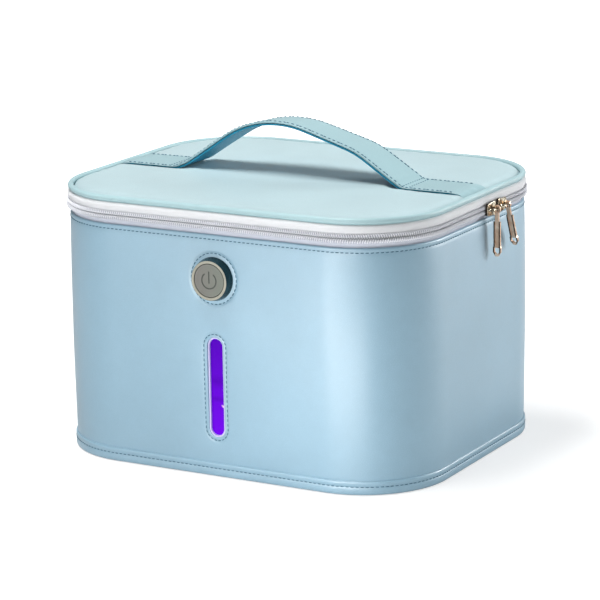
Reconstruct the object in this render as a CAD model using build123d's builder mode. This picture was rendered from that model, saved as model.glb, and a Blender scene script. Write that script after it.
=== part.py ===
from build123d import *
import os
from math import tan, radians

# A soft-sided ultraviolet sterilizing case: a stiffened box of bonded leather with a zip lid,
# a carrying strap, a power button and a viewing window in front, lamps in the lid and the base.
# Frame: millimetres, origin at the centre of the base on the table, +Z up. The front faces -Y
# and the two zip sliders meet on the right side, +X.

# ---------------------------------------------------------------- driving dimensions
case_width = 265.0
case_depth = 217.0
corner_radius = 56.0
rim_height = 157.0  # top edge of the leather wall

# Wall layers, from the outside in
leather_thickness = 1.4
board_thickness = 1.6
foam_thickness = 3.0
liner_thickness = 0.6

# Base layers between the leather sole and the floor liner
base_board_thickness = 2.0
base_foam_thickness = 5.0
binding_height = 9.0
binding_thickness = 0.8

# Zip, a size 5 coil zip
tape_thickness = 0.6
tape_proud = 0.4  # how far the tape stands out from the leather face
tape_margin = 5.5  # sewn behind the leather
lower_tape_height = 5.6  # from the rim to its edge at the middle of the coil
coil_thickness = 1.6
coil_height = 1.9  # one row
coil_slit = 1.2  # gap between the two rows, where the slider's post runs

# Hinge strip across the back
hinge_half_width = 88.0
hinge_strip_thickness = 1.2
hinge_slit = 0.6

# Lid layers, from the inside out
lid_gap = 0.4  # between the closed lid and the rim binding
rim_binding_thickness = 0.6
rim_binding_skirt = 13.0
inner_rim_lift = 8.2  # foam and liner stand above the leather rim
lid_lining_foam_thickness = 2.2
lid_board_thickness = 2.0
lid_pad_foam_thickness = 3.0
piping_diameter = 4.6
piping_proud = 1.0

# Carrying strap
strap_width = 33.0
strap_layer = 1.5
strap_half_length = 120.0
strap_left_foot = 79.3
strap_right_foot = 82.4
strap_left_shoulder = (-17.7, 41.6)  # x, and height above the flat of the strap
strap_right_shoulder = (51.2, 20.3)
strap_foot_radius = 25.0
strap_top_radius = 70.0
strap_slope_radius = 60.0

# Power button
button_diameter = 28.0
button_proud = 6.5
button_rim = 3.0
button_travel = 1.2
button_slack = 0.3
button_recess = 0.2
button_taper = 1.3  # the housing narrows towards its face
button_taper_run = 5.4
cap_thickness = 3.2
cap_edge = 0.4
cap_clearance = 0.1
stem_clearance = 0.2  # left between stem and switch at full travel
barrel_diameter = 18.0
stem_diameter = 6.0
nut_across_flats = 24.0
nut_thickness = 3.0
glyph_radius = 5.1
glyph_line = 0.9
glyph_depth = 0.25
glyph_bar_below = 1.8
glyph_bar_above = 5.9
glyph_gap_angle = 36.0

# Control box behind the button
control_width = 56.0
control_height = 44.0
control_rim_gap = 1.2  # below the rim binding
control_depth = 13.0
control_wall = 1.8
backplate_thickness = 1.5
control_board_size = 40.0
circuit_thickness = 1.6
control_boss_inset = 5.0
control_boss_diameter = 5.0
standoff_spacing_x = 35.0
standoff_spacing_z = 16.0
standoff_diameter = 4.0
barrel_overhang = 1.0  # barrel left beyond its nut
switch_size = 6.5
switch_height = 2.9
plunger_diameter = 3.2
plunger_entry = 0.5
sensor_size = 4.0
sensor_height = 1.5
sensor_edge = 2.0  # from the top of the board

# Viewing window
window_width = 11.5
window_length = 65.0
window_height = 58.5
window_recess = 0.2
window_wall = 0.9
window_flange = 3.0
window_flange_thickness = 1.2
lens_setback = 1.6
lens_flange_thickness = 1.4

# USB-C inlet, low on the back
socket_x = -60.0
socket_height = 22.0
socket_shell_width = 8.94
socket_shell_height = 3.16
socket_shell_wall = 0.3
socket_shell_back = 0.6
socket_tongue_width = 6.69
socket_tongue_thickness = 0.7
socket_tongue_length = 6.0
socket_plate_width = 18.0
socket_plate_height = 10.0
socket_plate_thickness = 1.2
socket_plate_corner = 2.5
socket_sleeve_wall_x = 2.5
socket_sleeve_wall_z = 2.0
socket_sleeve_corner = 1.5
socket_base_thickness = 1.6
socket_lip = 0.3
socket_box_width = 24.0
socket_box_height = 15.0
socket_box_depth = 6.0
socket_box_wall = 1.5

# Lamp modules, one on the floor and one under the lid
lamp_length = 168.0
lamp_width = 92.0
lamp_thickness = 8.0
lamp_corner_radius = 8.0
lamp_rim = 10.0
lamp_cavity_corner_radius = 4.0
lamp_floor = 1.5
lamp_cover_thickness = 2.0
lamp_cover_ledge = 2.0
led_columns = 4
led_rows = 2
led_pitch_x = 140.0 / 3
led_pitch_y = 52.0
led_size = 3.5
led_height = 1.6

# Screws
screw_shank = 2.4
screw_head = 5.0
screw_head_height = 1.6
screw_hole_clearance = 0.2
lamp_screw_bite = 1.4
control_screw_bite = 7.0

# Flat leads in the padding
lead_width = 5.0
lead_thickness = 1.2
lead_cover = 1.0  # padding left between a lead and the board
lead_clearance = 0.2
power_lead_x = -17.4
lid_lead_x = -12.0
base_lead_x = 13.0
lead_drop = 17.0  # where the leads meet the control board, below the button
lead_cross_y = 92.0  # where the power lead turns sideways to the inlet
lead_below_hinge = 1.0
lamp_lead_edge = 3.0  # from the side of a lamp board to its lead

# Lid magnet
magnet_diameter = 10.0
magnet_front_inset = 14.0

# Zip sliders and their pulls
front_slider_y = 8.0
rear_slider_y = 23.5
slider_length = 12.4
slider_height = 9.8
slider_tail_height = 7.6
slider_plate = 1.6
slider_back_plate = 1.0
slider_back_height = 5.0
slider_clearance = 0.2
slider_post_length = 4.0
slider_post_clearance = 0.1
slider_flange = 1.2
slider_corner = 2.0
slider_edge = 0.5
bridge_wire = 1.8
bridge_standoff = 2.6
bridge_span = 8.4
bridge_bend = 1.3
pull_offset = 2.3
pull_length = 31.0
pull_thickness = 1.5
pull_width = 4.6
pull_eye_inner = 1.1
pull_eye_wall = 1.0
pull_eye_slot = 1.2
pull_float = 0.3
pull_neck_width = 2.6
pull_neck_start = 4.0
pull_bar_start = 8.4
pull_bar_length = 16.0
pull_groove_width = 2.2
pull_groove_depth = 0.35
pull_ring_width = 5.4
pull_ring_wall = 1.0
pull_ring_tip = 1.4
rear_pull_tilt = 22.0

# Wire rack
rack_end_gap = 12.1  # from the end walls
rack_control_gap = 2.0  # from the screws of the control box
rack_corner_radius = 40.0
rack_height = 17.0  # top of the cross wires above the floor liner
rack_frame_wire = 3.6
rack_stringer_wire = 3.0
rack_cross_wire = 2.0
rack_weld = 0.6  # how far a cross wire is melted into the rim
rack_cross_overhang = 0.9  # beyond the middle of the rim
rack_cross_count = 13
rack_cross_pitch = 16.0
rack_stringer_y = 50.0
rack_leg_span = 120.0
rack_leg_bend = 6.0

# ---------------------------------------------------------------- derived heights and insets
board_inset = leather_thickness
foam_inset = board_inset + board_thickness
liner_inset = foam_inset + foam_thickness
chamber_inset = liner_inset + liner_thickness

base_board_bottom = leather_thickness
base_foam_bottom = base_board_bottom + base_board_thickness
floor_liner_bottom = base_foam_bottom + base_foam_thickness
floor_top = floor_liner_bottom + liner_thickness

margin_bottom = rim_height - tape_margin
lower_tape_top = rim_height + lower_tape_height
lower_coil_bottom = lower_tape_top - coil_height
zip_middle = lower_tape_top + coil_slit / 2
upper_tape_bottom = lower_tape_top + coil_slit
upper_coil_top = upper_tape_bottom + coil_height
tape_inset = tape_thickness - tape_proud
coil_proud = tape_proud + coil_thickness
hinge_strip_proud = hinge_strip_thickness - tape_inset

inner_rim = rim_height + inner_rim_lift
binding_bottom = inner_rim - rim_binding_skirt
button_height = binding_bottom - control_rim_gap - control_height / 2
lid_liner_bottom = inner_rim + rim_binding_thickness + lid_gap
lid_lining_bottom = lid_liner_bottom + liner_thickness
lid_board_bottom = lid_lining_bottom + lid_lining_foam_thickness
lid_board_top = lid_board_bottom + lid_board_thickness
lid_pad_top = lid_board_top + lid_pad_foam_thickness
lid_top = lid_pad_top + leather_thickness
piping_radius = piping_diameter / 2
piping_inset = piping_radius - piping_proud
lid_panel_inset = piping_inset + piping_radius
piping_height = lid_board_top + piping_radius

slider_x = case_width / 2 + coil_proud + slider_clearance
bridge_x = slider_x + slider_plate + bridge_standoff
barrel_end = chamber_inset + backplate_thickness + nut_thickness + barrel_overhang
circuit_inset = barrel_end + switch_height
lead_inset = foam_inset + lead_cover
lead_floor = base_foam_bottom + lead_cover + lead_thickness


# ---------------------------------------------------------------- planes and shared shapes
def front_plane(inset, x=0.0, z=0.0):
    """A plane facing the front, `inset` behind the face of the front wall."""
    return Plane(origin=(x, inset - case_depth / 2, z), x_dir=(1, 0, 0), z_dir=(0, -1, 0))


def back_plane(inset, x=0.0, z=0.0):
    """A plane facing the back, `inset` inside the face of the back wall."""
    return Plane(origin=(x, case_depth / 2 - inset, z), x_dir=(-1, 0, 0), z_dir=(0, 1, 0))


def footprint(inset=0.0, mode=Mode.ADD):
    """The rounded outline of the case, drawn `inset` inside the leather face."""
    RectangleRounded(
        case_width - 2 * inset, case_depth - 2 * inset, corner_radius - inset, mode=mode
    )


def slab(bottom, top, inset):
    """A flat layer that fills the outline."""
    with BuildSketch(Plane.XY.offset(bottom)) as profile:
        footprint(inset)
    extrude(profile.sketch, amount=top - bottom)


def band(bottom, top, outer_inset, inner_inset):
    """A hoop that follows the outline."""
    with BuildSketch(Plane.XY.offset(bottom)) as profile:
        footprint(outer_inset)
        footprint(inner_inset, mode=Mode.SUBTRACT)
    extrude(profile.sketch, amount=top - bottom)


def box_between(low, high, mode=Mode.ADD):
    """A block given by its lowest and highest corners."""
    centre = [(a + b) / 2 for a, b in zip(low, high)]
    size = [b - a for a, b in zip(low, high)]
    with Locations(tuple(centre)):
        Box(*size, mode=mode)


def back_span(mode):
    """Keep or remove the stretch of a hoop that the hinge strip covers."""
    box_between(
        (-hinge_half_width, 0, 0),
        (hinge_half_width, case_depth, lid_top),
        mode=mode,
    )


def cut_button_hole(diameter):
    """The round hole for the button's barrel through one wall layer."""
    with BuildSketch(front_plane(0, z=button_height)) as profile:
        Circle(diameter / 2)
    extrude(profile.sketch, amount=-chamber_inset, mode=Mode.SUBTRACT)


def cut_window(grow=0.0, depth=chamber_inset):
    """The oblong hole for the window through one wall layer."""
    with BuildSketch(front_plane(0, z=window_height)) as profile:
        SlotOverall(window_length + 2 * grow, window_width + 2 * grow, rotation=90)
    extrude(profile.sketch, amount=-depth, mode=Mode.SUBTRACT)


def cut_socket_hole():
    """The hole for the power inlet through one wall layer."""
    with BuildSketch(back_plane(0, socket_x, socket_height)) as profile:
        RectangleRounded(socket_sleeve_width, socket_sleeve_height, socket_sleeve_corner)
    extrude(profile.sketch, amount=-chamber_inset, mode=Mode.SUBTRACT)


barrel_hole = barrel_diameter + 2 * screw_hole_clearance
socket_sleeve_width = socket_shell_width + 2 * socket_sleeve_wall_x
socket_sleeve_height = socket_shell_height + 2 * socket_sleeve_wall_z
lamp_screw_x = (lamp_length - lamp_rim) / 2
lamp_screw_y = (lamp_width - lamp_rim) / 2
screw_hole = screw_shank + 2 * screw_hole_clearance


def cut_screw_holes(bottom, top, diameter):
    """Holes for the four lamp screws through a layer of the floor or the lid."""
    with BuildSketch(Plane.XY.offset(bottom)) as profile:
        with GridLocations(2 * lamp_screw_x, 2 * lamp_screw_y, 2, 2):
            Circle(diameter / 2)
    extrude(profile.sketch, amount=top - bottom, mode=Mode.SUBTRACT)


# ---------------------------------------------------------------- routes of the flat leads
def lead_box(low, high, grow, mode):
    """One straight run of a lead, or the slot for it when grown."""
    low = [a - grow for a in low]
    high = [b + grow for b in high]
    box_between(low, high, mode)


def wall_drop(face, x, bottom, top, grow, mode):
    """A run down a wall; `face` is -1 at the front wall and +1 at the back."""
    near = face * (case_depth / 2 - lead_inset)
    far = face * (case_depth / 2 - lead_inset - lead_thickness)
    low = (x - lead_width / 2, min(near, far), bottom)
    high = (x + lead_width / 2, max(near, far), top)
    lead_box(low, high, grow, mode)


def floor_run(x, start, end, grow, mode):
    """A run under the floor from front to back."""
    low = (x - lead_width / 2, start, lead_floor - lead_thickness)
    high = (x + lead_width / 2, end, lead_floor)
    lead_box(low, high, grow, mode)


def side_run(x_from, x_to, y, grow, mode):
    """A sideways run under the floor."""
    low = (min(x_from, x_to) - lead_width / 2, y - lead_width / 2, floor_low)
    high = (max(x_from, x_to) + lead_width / 2, y + lead_width / 2, lead_floor)
    lead_box(low, high, grow, mode)


def board_entry(x, grow, mode):
    """The last run, from the front wall to the face of the control board."""
    low = (x - lead_width / 2, lead_inset - case_depth / 2, entry_height - lead_thickness)
    high = (x + lead_width / 2, circuit_inset - case_depth / 2, entry_height)
    lead_box(low, high, grow, mode)


floor_front = lead_inset - case_depth / 2
floor_back = case_depth / 2 - lead_inset
floor_low = lead_floor - lead_thickness
entry_height = button_height - lead_drop
lamp_entry_y = lamp_width / 2 - lamp_rim - lamp_lead_edge
socket_base = chamber_inset + socket_base_thickness
socket_entry = socket_height - socket_box_height / 2 + socket_box_wall + lead_clearance


def route_power_lead(grow=0.0, mode=Mode.ADD):
    """From the back of the power inlet, under the floor, up to the control board."""
    left = socket_x - lead_width / 2
    right = socket_x + lead_width / 2
    near = case_depth / 2 - socket_base - lead_thickness
    far = case_depth / 2 - socket_base
    lead_box((left, near, socket_entry), (right, far, socket_height), grow, mode)
    lead_box((left, near, socket_entry), (right, floor_back, socket_entry + lead_thickness), grow, mode)
    wall_drop(1, socket_x, floor_low, socket_entry + lead_thickness, grow, mode)
    floor_run(socket_x, lead_cross_y, floor_back, grow, mode)
    side_run(socket_x, power_lead_x, lead_cross_y, grow, mode)
    floor_run(power_lead_x, floor_front, lead_cross_y, grow, mode)
    wall_drop(-1, power_lead_x, floor_low, entry_height, grow, mode)
    board_entry(power_lead_x, grow, mode)


def route_base_lead(grow=0.0, mode=Mode.ADD):
    """From the control board down to the lamps in the base."""
    board_entry(base_lead_x, grow, mode)
    wall_drop(-1, base_lead_x, floor_low, entry_height, grow, mode)
    floor_run(base_lead_x, floor_front, -lamp_entry_y, grow, mode)
    low = (base_lead_x - lead_width / 2, -lamp_entry_y - lead_thickness, floor_low)
    high = (base_lead_x + lead_width / 2, -lamp_entry_y, floor_top + lamp_floor)
    lead_box(low, high, grow, mode)


def route_lid_lead(grow=0.0, mode=Mode.ADD):
    """From the control board, under the floor, up the back wall to the hinge."""
    board_entry(lid_lead_x, grow, mode)
    wall_drop(-1, lid_lead_x, floor_low, entry_height, grow, mode)
    floor_run(lid_lead_x, floor_front, floor_back, grow, mode)
    wall_drop(1, lid_lead_x, floor_low, zip_middle - lead_below_hinge, grow, mode)


def cut_lead_slots():
    """The slots that the padding leaves for all three leads."""
    route_power_lead(lead_clearance, Mode.SUBTRACT)
    route_base_lead(lead_clearance, Mode.SUBTRACT)
    route_lid_lead(lead_clearance, Mode.SUBTRACT)


# ---------------------------------------------------------------- the leather box
with BuildPart() as base_leather:
    slab(0, leather_thickness, 0)

with BuildPart() as bottom_binding:
    band(0, binding_height, -binding_thickness, 0)

with BuildPart() as base_board:
    slab(base_board_bottom, base_foam_bottom, board_inset)
    cut_screw_holes(base_foam_bottom - lamp_screw_bite, base_foam_bottom, screw_shank)

with BuildPart() as body_leather:
    band(base_board_bottom, rim_height, 0, leather_thickness)
    cut_button_hole(barrel_hole)
    cut_window()
    cut_socket_hole()

with BuildPart() as body_board:
    band(base_foam_bottom, margin_bottom, board_inset, foam_inset)
    cut_button_hole(barrel_hole)
    cut_window()
    cut_socket_hole()


# ---------------------------------------------------------------- padding and liner
with BuildPart() as base_foam:
    slab(base_foam_bottom, floor_liner_bottom, foam_inset)
    cut_lead_slots()
    cut_screw_holes(base_foam_bottom, floor_liner_bottom, screw_hole)

with BuildPart() as floor_liner:
    slab(floor_liner_bottom, floor_top, liner_inset)
    cut_screw_holes(floor_liner_bottom, floor_top, screw_hole)
    route_base_lead(lead_clearance, Mode.SUBTRACT)

with BuildPart() as body_foam:
    band(floor_liner_bottom, inner_rim, foam_inset, liner_inset)
    cut_button_hole(barrel_hole)
    cut_window()
    cut_window(window_flange, foam_inset + window_flange_thickness)
    cut_socket_hole()
    cut_lead_slots()

with BuildPart() as body_liner:
    band(floor_top, inner_rim, liner_inset, chamber_inset)
    cut_button_hole(barrel_hole)
    cut_window()
    cut_socket_hole()
    cut_lead_slots()

with BuildPart() as rim_binding:
    binding_outer = foam_inset
    binding_inner = chamber_inset + rim_binding_thickness
    band(inner_rim, inner_rim + rim_binding_thickness, binding_outer, binding_inner)
    band(binding_bottom, inner_rim, chamber_inset, binding_inner)


# ---------------------------------------------------------------- zip and hinge strip
with BuildPart() as lower_zip_tape:
    margin_inner = board_inset + tape_thickness
    band(margin_bottom, rim_height, board_inset, margin_inner)
    band(rim_height, rim_height + tape_thickness, -tape_proud, margin_inner)
    band(rim_height, lower_tape_top, -tape_proud, tape_inset)
    back_span(Mode.SUBTRACT)

with BuildPart() as lower_zip_coil:
    band(lower_coil_bottom, lower_tape_top, -coil_proud, -tape_proud)
    back_span(Mode.SUBTRACT)

with BuildPart() as hinge_strip_lower:
    strip_margin_inner = board_inset + hinge_strip_thickness
    strip_top = zip_middle - hinge_slit / 2
    band(margin_bottom, rim_height, board_inset, strip_margin_inner)
    band(rim_height, rim_height + hinge_strip_thickness, -hinge_strip_proud, strip_margin_inner)
    band(rim_height, strip_top, -hinge_strip_proud, tape_inset)
    back_span(Mode.INTERSECT)

with BuildPart() as upper_zip_tape:
    band(upper_tape_bottom, lid_board_top, -tape_proud, tape_inset)
    back_span(Mode.SUBTRACT)

with BuildPart() as upper_zip_coil:
    band(upper_tape_bottom, upper_coil_top, -coil_proud, -tape_proud)
    back_span(Mode.SUBTRACT)

with BuildPart() as hinge_strip_upper:
    band(zip_middle + hinge_slit / 2, lid_board_top, -hinge_strip_proud, tape_inset)
    back_span(Mode.INTERSECT)


# ---------------------------------------------------------------- lid layers
lid_lead_low = lid_lining_bottom + (lid_lining_foam_thickness - lead_thickness) / 2
lid_lamp_board_back = lid_liner_bottom - lamp_floor


def route_lid_lamp_lead(grow=0.0, mode=Mode.ADD):
    """From the hinge, through the lid's lining foam, down to the lamps in the lid."""
    left = lid_lead_x - lead_width / 2
    right = lid_lead_x + lead_width / 2
    top = lid_lead_low + lead_thickness
    turn = lamp_entry_y + lead_thickness
    lead_box((left, lamp_entry_y, lid_lead_low), (right, floor_back, top), grow, mode)
    lead_box((left, lamp_entry_y, lid_lamp_board_back), (right, turn, top), grow, mode)


with BuildPart() as lid_liner:
    slab(lid_liner_bottom, lid_lining_bottom, tape_inset)
    cut_screw_holes(lid_liner_bottom, lid_lining_bottom, screw_hole)
    route_lid_lamp_lead(lead_clearance, Mode.SUBTRACT)


def draw_magnet():
    """The round outline of the lid magnet, near the middle of the front edge."""
    with Locations((0, magnet_front_inset - case_depth / 2)):
        Circle(magnet_diameter / 2)


with BuildPart() as lid_lining_foam:
    slab(lid_lining_bottom, lid_board_bottom, tape_inset)
    cut_screw_holes(lid_lining_bottom, lid_board_bottom, screw_hole)
    route_lid_lamp_lead(lead_clearance, Mode.SUBTRACT)
    with BuildSketch(Plane.XY.offset(lid_lining_bottom)):
        draw_magnet()
    extrude(amount=lid_lining_foam_thickness, mode=Mode.SUBTRACT)

with BuildPart() as lid_magnet:
    with BuildSketch(Plane.XY.offset(lid_lining_bottom)):
        draw_magnet()
    extrude(amount=lid_lining_foam_thickness)

with BuildPart() as lid_board:
    slab(lid_board_bottom, lid_board_top, tape_inset)
    cut_screw_holes(lid_board_bottom, lid_board_bottom + lamp_screw_bite, screw_shank)

with BuildPart() as lid_pad_foam:
    slab(lid_board_top, lid_pad_top, lid_panel_inset)

with BuildPart() as lid_leather:
    slab(lid_pad_top, lid_top, lid_panel_inset)

with BuildPart() as lid_piping:
    with BuildSketch(Plane.XY.offset(piping_height), mode=Mode.PRIVATE) as piping_outline:
        footprint(piping_inset)
    piping_path = piping_outline.sketch.face().outer_wire()
    with BuildSketch(Plane(origin=piping_path @ 0, z_dir=piping_path % 0)):
        Circle(piping_radius)
    sweep(path=piping_path)


# ---------------------------------------------------------------- carrying strap
strap_flat = lid_top + strap_layer
strap_points = [
    (-strap_half_length, 0),
    (-strap_left_foot, 0),
    strap_left_shoulder,
    strap_right_shoulder,
    (strap_right_foot, 0),
    (strap_half_length, 0),
]
strap_radii = [strap_foot_radius, strap_top_radius, strap_slope_radius, strap_foot_radius]


def draw_strap_layer(side):
    """Half the strap's section: above its middle line for side +1, below it for side -1."""
    with BuildLine() as section:
        middle = FilletPolyline(*strap_points, radius=strap_radii)
        outer_side = Side.LEFT if side > 0 else Side.RIGHT
        offset(middle, amount=strap_layer, side=outer_side, closed=True)
    make_face(section.edges())


strap_plane = Plane(origin=(0, 0, strap_flat), x_dir=(1, 0, 0), z_dir=(0, -1, 0))

with BuildPart() as handle_top_layer:
    with BuildSketch(strap_plane):
        draw_strap_layer(1)
    extrude(amount=strap_width / 2, both=True)

with BuildPart() as handle_under_layer:
    with BuildSketch(strap_plane):
        draw_strap_layer(-1)
    extrude(amount=strap_width / 2, both=True)


# ---------------------------------------------------------------- power button
pocket_diameter = button_diameter - 2 * button_rim
pocket_depth = button_recess + cap_thickness + button_travel + button_slack
stem_end = barrel_end - button_travel - stem_clearance
plunger_end = barrel_end + plunger_entry

with BuildPart() as button_housing:
    with BuildSketch(front_plane(-button_proud, z=button_height)):
        Circle(button_diameter / 2)
    extrude(amount=-button_proud)
    face = faces().sort_by(Axis.Y)[0]
    chamfer(face.edges(), length=button_taper, length2=button_taper_run, reference=face)
    with BuildSketch(front_plane(0, z=button_height)):
        Circle(barrel_diameter / 2)
    extrude(amount=-barrel_end)
    with BuildSketch(front_plane(-button_proud, z=button_height)):
        Circle(pocket_diameter / 2)
    extrude(amount=-pocket_depth, mode=Mode.SUBTRACT)
    with BuildSketch(front_plane(-button_proud, z=button_height)):
        Circle(stem_diameter / 2 + cap_clearance)
    extrude(amount=-button_proud - barrel_end, mode=Mode.SUBTRACT)


def draw_power_glyph():
    """The standby sign: a ring open at the top, with an upright bar in the gap."""
    reach = glyph_radius + glyph_line
    gap = reach * tan(radians(glyph_gap_angle))
    Circle(glyph_radius + glyph_line / 2)
    Circle(glyph_radius - glyph_line / 2, mode=Mode.SUBTRACT)
    with BuildLine() as wedge:
        Polyline((0, 0), (-gap, reach), (gap, reach), close=True)
    make_face(wedge.edges(), mode=Mode.SUBTRACT)
    bar_middle = (glyph_bar_above - glyph_bar_below) / 2
    with Locations((0, bar_middle)):
        Rectangle(glyph_line, glyph_bar_above + glyph_bar_below)


cap_front = button_recess - button_proud

with BuildPart() as button_cap:
    with BuildSketch(front_plane(cap_front, z=button_height)):
        Circle(pocket_diameter / 2 - cap_clearance)
    extrude(amount=-cap_thickness)
    chamfer(faces().sort_by(Axis.Y)[0].edges(), length=cap_edge)
    with BuildSketch(front_plane(cap_front, z=button_height)):
        Circle(stem_diameter / 2)
    extrude(amount=cap_front - stem_end)
    with BuildSketch(front_plane(stem_end, z=button_height)):
        Circle(plunger_diameter / 2)
    extrude(amount=stem_end - plunger_end)
    with BuildSketch(front_plane(cap_front, z=button_height)):
        draw_power_glyph()
    extrude(amount=-glyph_depth, mode=Mode.SUBTRACT)

with BuildPart() as button_lock_nut:
    with BuildSketch(front_plane(chamber_inset + backplate_thickness, z=button_height)):
        RegularPolygon(nut_across_flats / 2, 6, major_radius=False)
        Circle(barrel_diameter / 2, mode=Mode.SUBTRACT)
    extrude(amount=-nut_thickness)


# ---------------------------------------------------------------- control box
boss_spacing_x = control_width - 2 * control_boss_inset
boss_spacing_z = control_height - 2 * control_boss_inset
backplate_face = chamber_inset + backplate_thickness
cover_back = backplate_face + control_depth
boss_length = control_depth - control_wall
control_screw_length = control_wall + control_screw_bite

with BuildPart() as control_backplate:
    with BuildSketch(front_plane(chamber_inset, z=button_height)):
        Rectangle(control_width, control_height)
        Circle(barrel_hole / 2, mode=Mode.SUBTRACT)
    extrude(amount=-backplate_thickness)
    with BuildSketch(front_plane(backplate_face, z=button_height)):
        with GridLocations(boss_spacing_x, boss_spacing_z, 2, 2):
            Circle(control_boss_diameter / 2)
    extrude(amount=-boss_length)
    with BuildSketch(front_plane(backplate_face, z=button_height)):
        with GridLocations(standoff_spacing_x, standoff_spacing_z, 2, 2):
            Circle(standoff_diameter / 2)
    extrude(amount=backplate_face - circuit_inset)
    with BuildSketch(front_plane(backplate_face + boss_length, z=button_height)):
        with GridLocations(boss_spacing_x, boss_spacing_z, 2, 2):
            Circle(screw_shank / 2)
    extrude(amount=control_screw_bite, mode=Mode.SUBTRACT)
    cut_lead_slots()

with BuildPart() as control_board:
    with BuildSketch(front_plane(circuit_inset, z=button_height)):
        Rectangle(control_board_size, control_board_size)
    extrude(amount=-circuit_thickness)
    with BuildSketch(front_plane(circuit_inset, z=button_height)):
        Rectangle(switch_size, switch_size)
        Circle(plunger_diameter / 2 + cap_clearance, mode=Mode.SUBTRACT)
    extrude(amount=switch_height)
    sensor_middle = control_board_size / 2 - sensor_edge - sensor_size / 2
    with BuildSketch(front_plane(circuit_inset, z=button_height)):
        with Locations((0, sensor_middle)):
            Rectangle(sensor_size, sensor_size)
    extrude(amount=sensor_height)

with BuildPart() as control_cover:
    with BuildSketch(front_plane(backplate_face, z=button_height)):
        Rectangle(control_width, control_height)
    extrude(amount=-control_depth)
    fillet(edges().filter_by(Axis.Y), radius=control_wall)
    cavity_width = control_width - 2 * control_wall
    cavity_height = control_height - 2 * control_wall
    with BuildSketch(front_plane(backplate_face, z=button_height)):
        Rectangle(cavity_width, cavity_height)
    extrude(amount=-boss_length, mode=Mode.SUBTRACT)
    with BuildSketch(front_plane(cover_back, z=button_height)):
        with GridLocations(boss_spacing_x, boss_spacing_z, 2, 2):
            Circle(screw_shank / 2 + screw_hole_clearance)
    extrude(amount=control_wall, mode=Mode.SUBTRACT)

with BuildPart() as control_screws:
    with BuildSketch(front_plane(cover_back, z=button_height)):
        with GridLocations(boss_spacing_x, boss_spacing_z, 2, 2):
            Circle(screw_head / 2)
    extrude(amount=-screw_head_height)
    with BuildSketch(front_plane(cover_back, z=button_height)):
        with GridLocations(boss_spacing_x, boss_spacing_z, 2, 2):
            Circle(screw_shank / 2)
    extrude(amount=control_screw_length)


# ---------------------------------------------------------------- viewing window
lens_width = window_width - 2 * window_wall
lens_length = window_length - 2 * window_wall

with BuildPart() as window_bezel:
    with BuildSketch(front_plane(window_recess, z=window_height)):
        SlotOverall(window_length, window_width, rotation=90)
    extrude(amount=window_recess - chamber_inset)
    with BuildSketch(front_plane(foam_inset, z=window_height)):
        SlotOverall(window_length + 2 * window_flange, window_width + 2 * window_flange, rotation=90)
    extrude(amount=-window_flange_thickness)
    with BuildSketch(front_plane(0, z=window_height)):
        SlotOverall(lens_length, lens_width, rotation=90)
    extrude(amount=-chamber_inset, mode=Mode.SUBTRACT)

with BuildPart() as window_lens:
    with BuildSketch(front_plane(lens_setback, z=window_height)):
        SlotOverall(lens_length, lens_width, rotation=90)
    extrude(amount=lens_setback - chamber_inset)
    with BuildSketch(front_plane(chamber_inset, z=window_height)):
        SlotOverall(window_length + 2 * window_flange, window_width + 2 * window_flange, rotation=90)
    extrude(amount=-lens_flange_thickness)


# ---------------------------------------------------------------- power inlet
with BuildPart() as socket_bezel:
    with BuildSketch(back_plane(-socket_plate_thickness, socket_x, socket_height)):
        RectangleRounded(socket_plate_width, socket_plate_height, socket_plate_corner)
    extrude(amount=-socket_plate_thickness)
    with BuildSketch(back_plane(0, socket_x, socket_height)):
        RectangleRounded(socket_sleeve_width, socket_sleeve_height, socket_sleeve_corner)
    extrude(amount=-chamber_inset)
    with BuildSketch(back_plane(-socket_plate_thickness, socket_x, socket_height)):
        SlotOverall(socket_shell_width, socket_shell_height)
    extrude(amount=-socket_plate_thickness - chamber_inset, mode=Mode.SUBTRACT)

shell_mouth = -socket_plate_thickness + socket_lip
shell_depth = chamber_inset - shell_mouth
mouth_width = socket_shell_width - 2 * socket_shell_wall
mouth_height = socket_shell_height - 2 * socket_shell_wall
mouth_depth = shell_depth - socket_shell_back

with BuildPart() as usb_socket:
    with BuildSketch(back_plane(shell_mouth, socket_x, socket_height)):
        SlotOverall(socket_shell_width, socket_shell_height)
    extrude(amount=-shell_depth)
    with BuildSketch(back_plane(shell_mouth, socket_x, socket_height)):
        SlotOverall(mouth_width, mouth_height)
    extrude(amount=-mouth_depth, mode=Mode.SUBTRACT)
    with BuildSketch(back_plane(chamber_inset, socket_x, socket_height)):
        Rectangle(socket_tongue_width, socket_tongue_thickness)
    extrude(amount=socket_tongue_length)
    with BuildSketch(back_plane(chamber_inset, socket_x, socket_height)):
        Rectangle(socket_sleeve_width, socket_sleeve_height)
    extrude(amount=-socket_base_thickness)

with BuildPart() as socket_box:
    with BuildSketch(back_plane(chamber_inset, socket_x, socket_height)):
        Rectangle(socket_box_width, socket_box_height)
    extrude(amount=-socket_box_depth)
    fillet(edges().filter_by(Axis.Y), radius=socket_box_wall)
    inner_width = socket_box_width - 2 * socket_box_wall
    inner_height = socket_box_height - 2 * socket_box_wall
    with BuildSketch(back_plane(chamber_inset, socket_x, socket_height)):
        Rectangle(inner_width, inner_height)
    extrude(amount=socket_box_wall - socket_box_depth, mode=Mode.SUBTRACT)


# ---------------------------------------------------------------- lamp modules
cavity_length = lamp_length - 2 * lamp_rim
cavity_breadth = lamp_width - 2 * lamp_rim
cover_length = cavity_length + 2 * lamp_cover_ledge
cover_breadth = cavity_breadth + 2 * lamp_cover_ledge
cover_bottom = lamp_thickness - lamp_cover_thickness
lamp_board_top = lamp_floor + circuit_thickness

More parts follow.
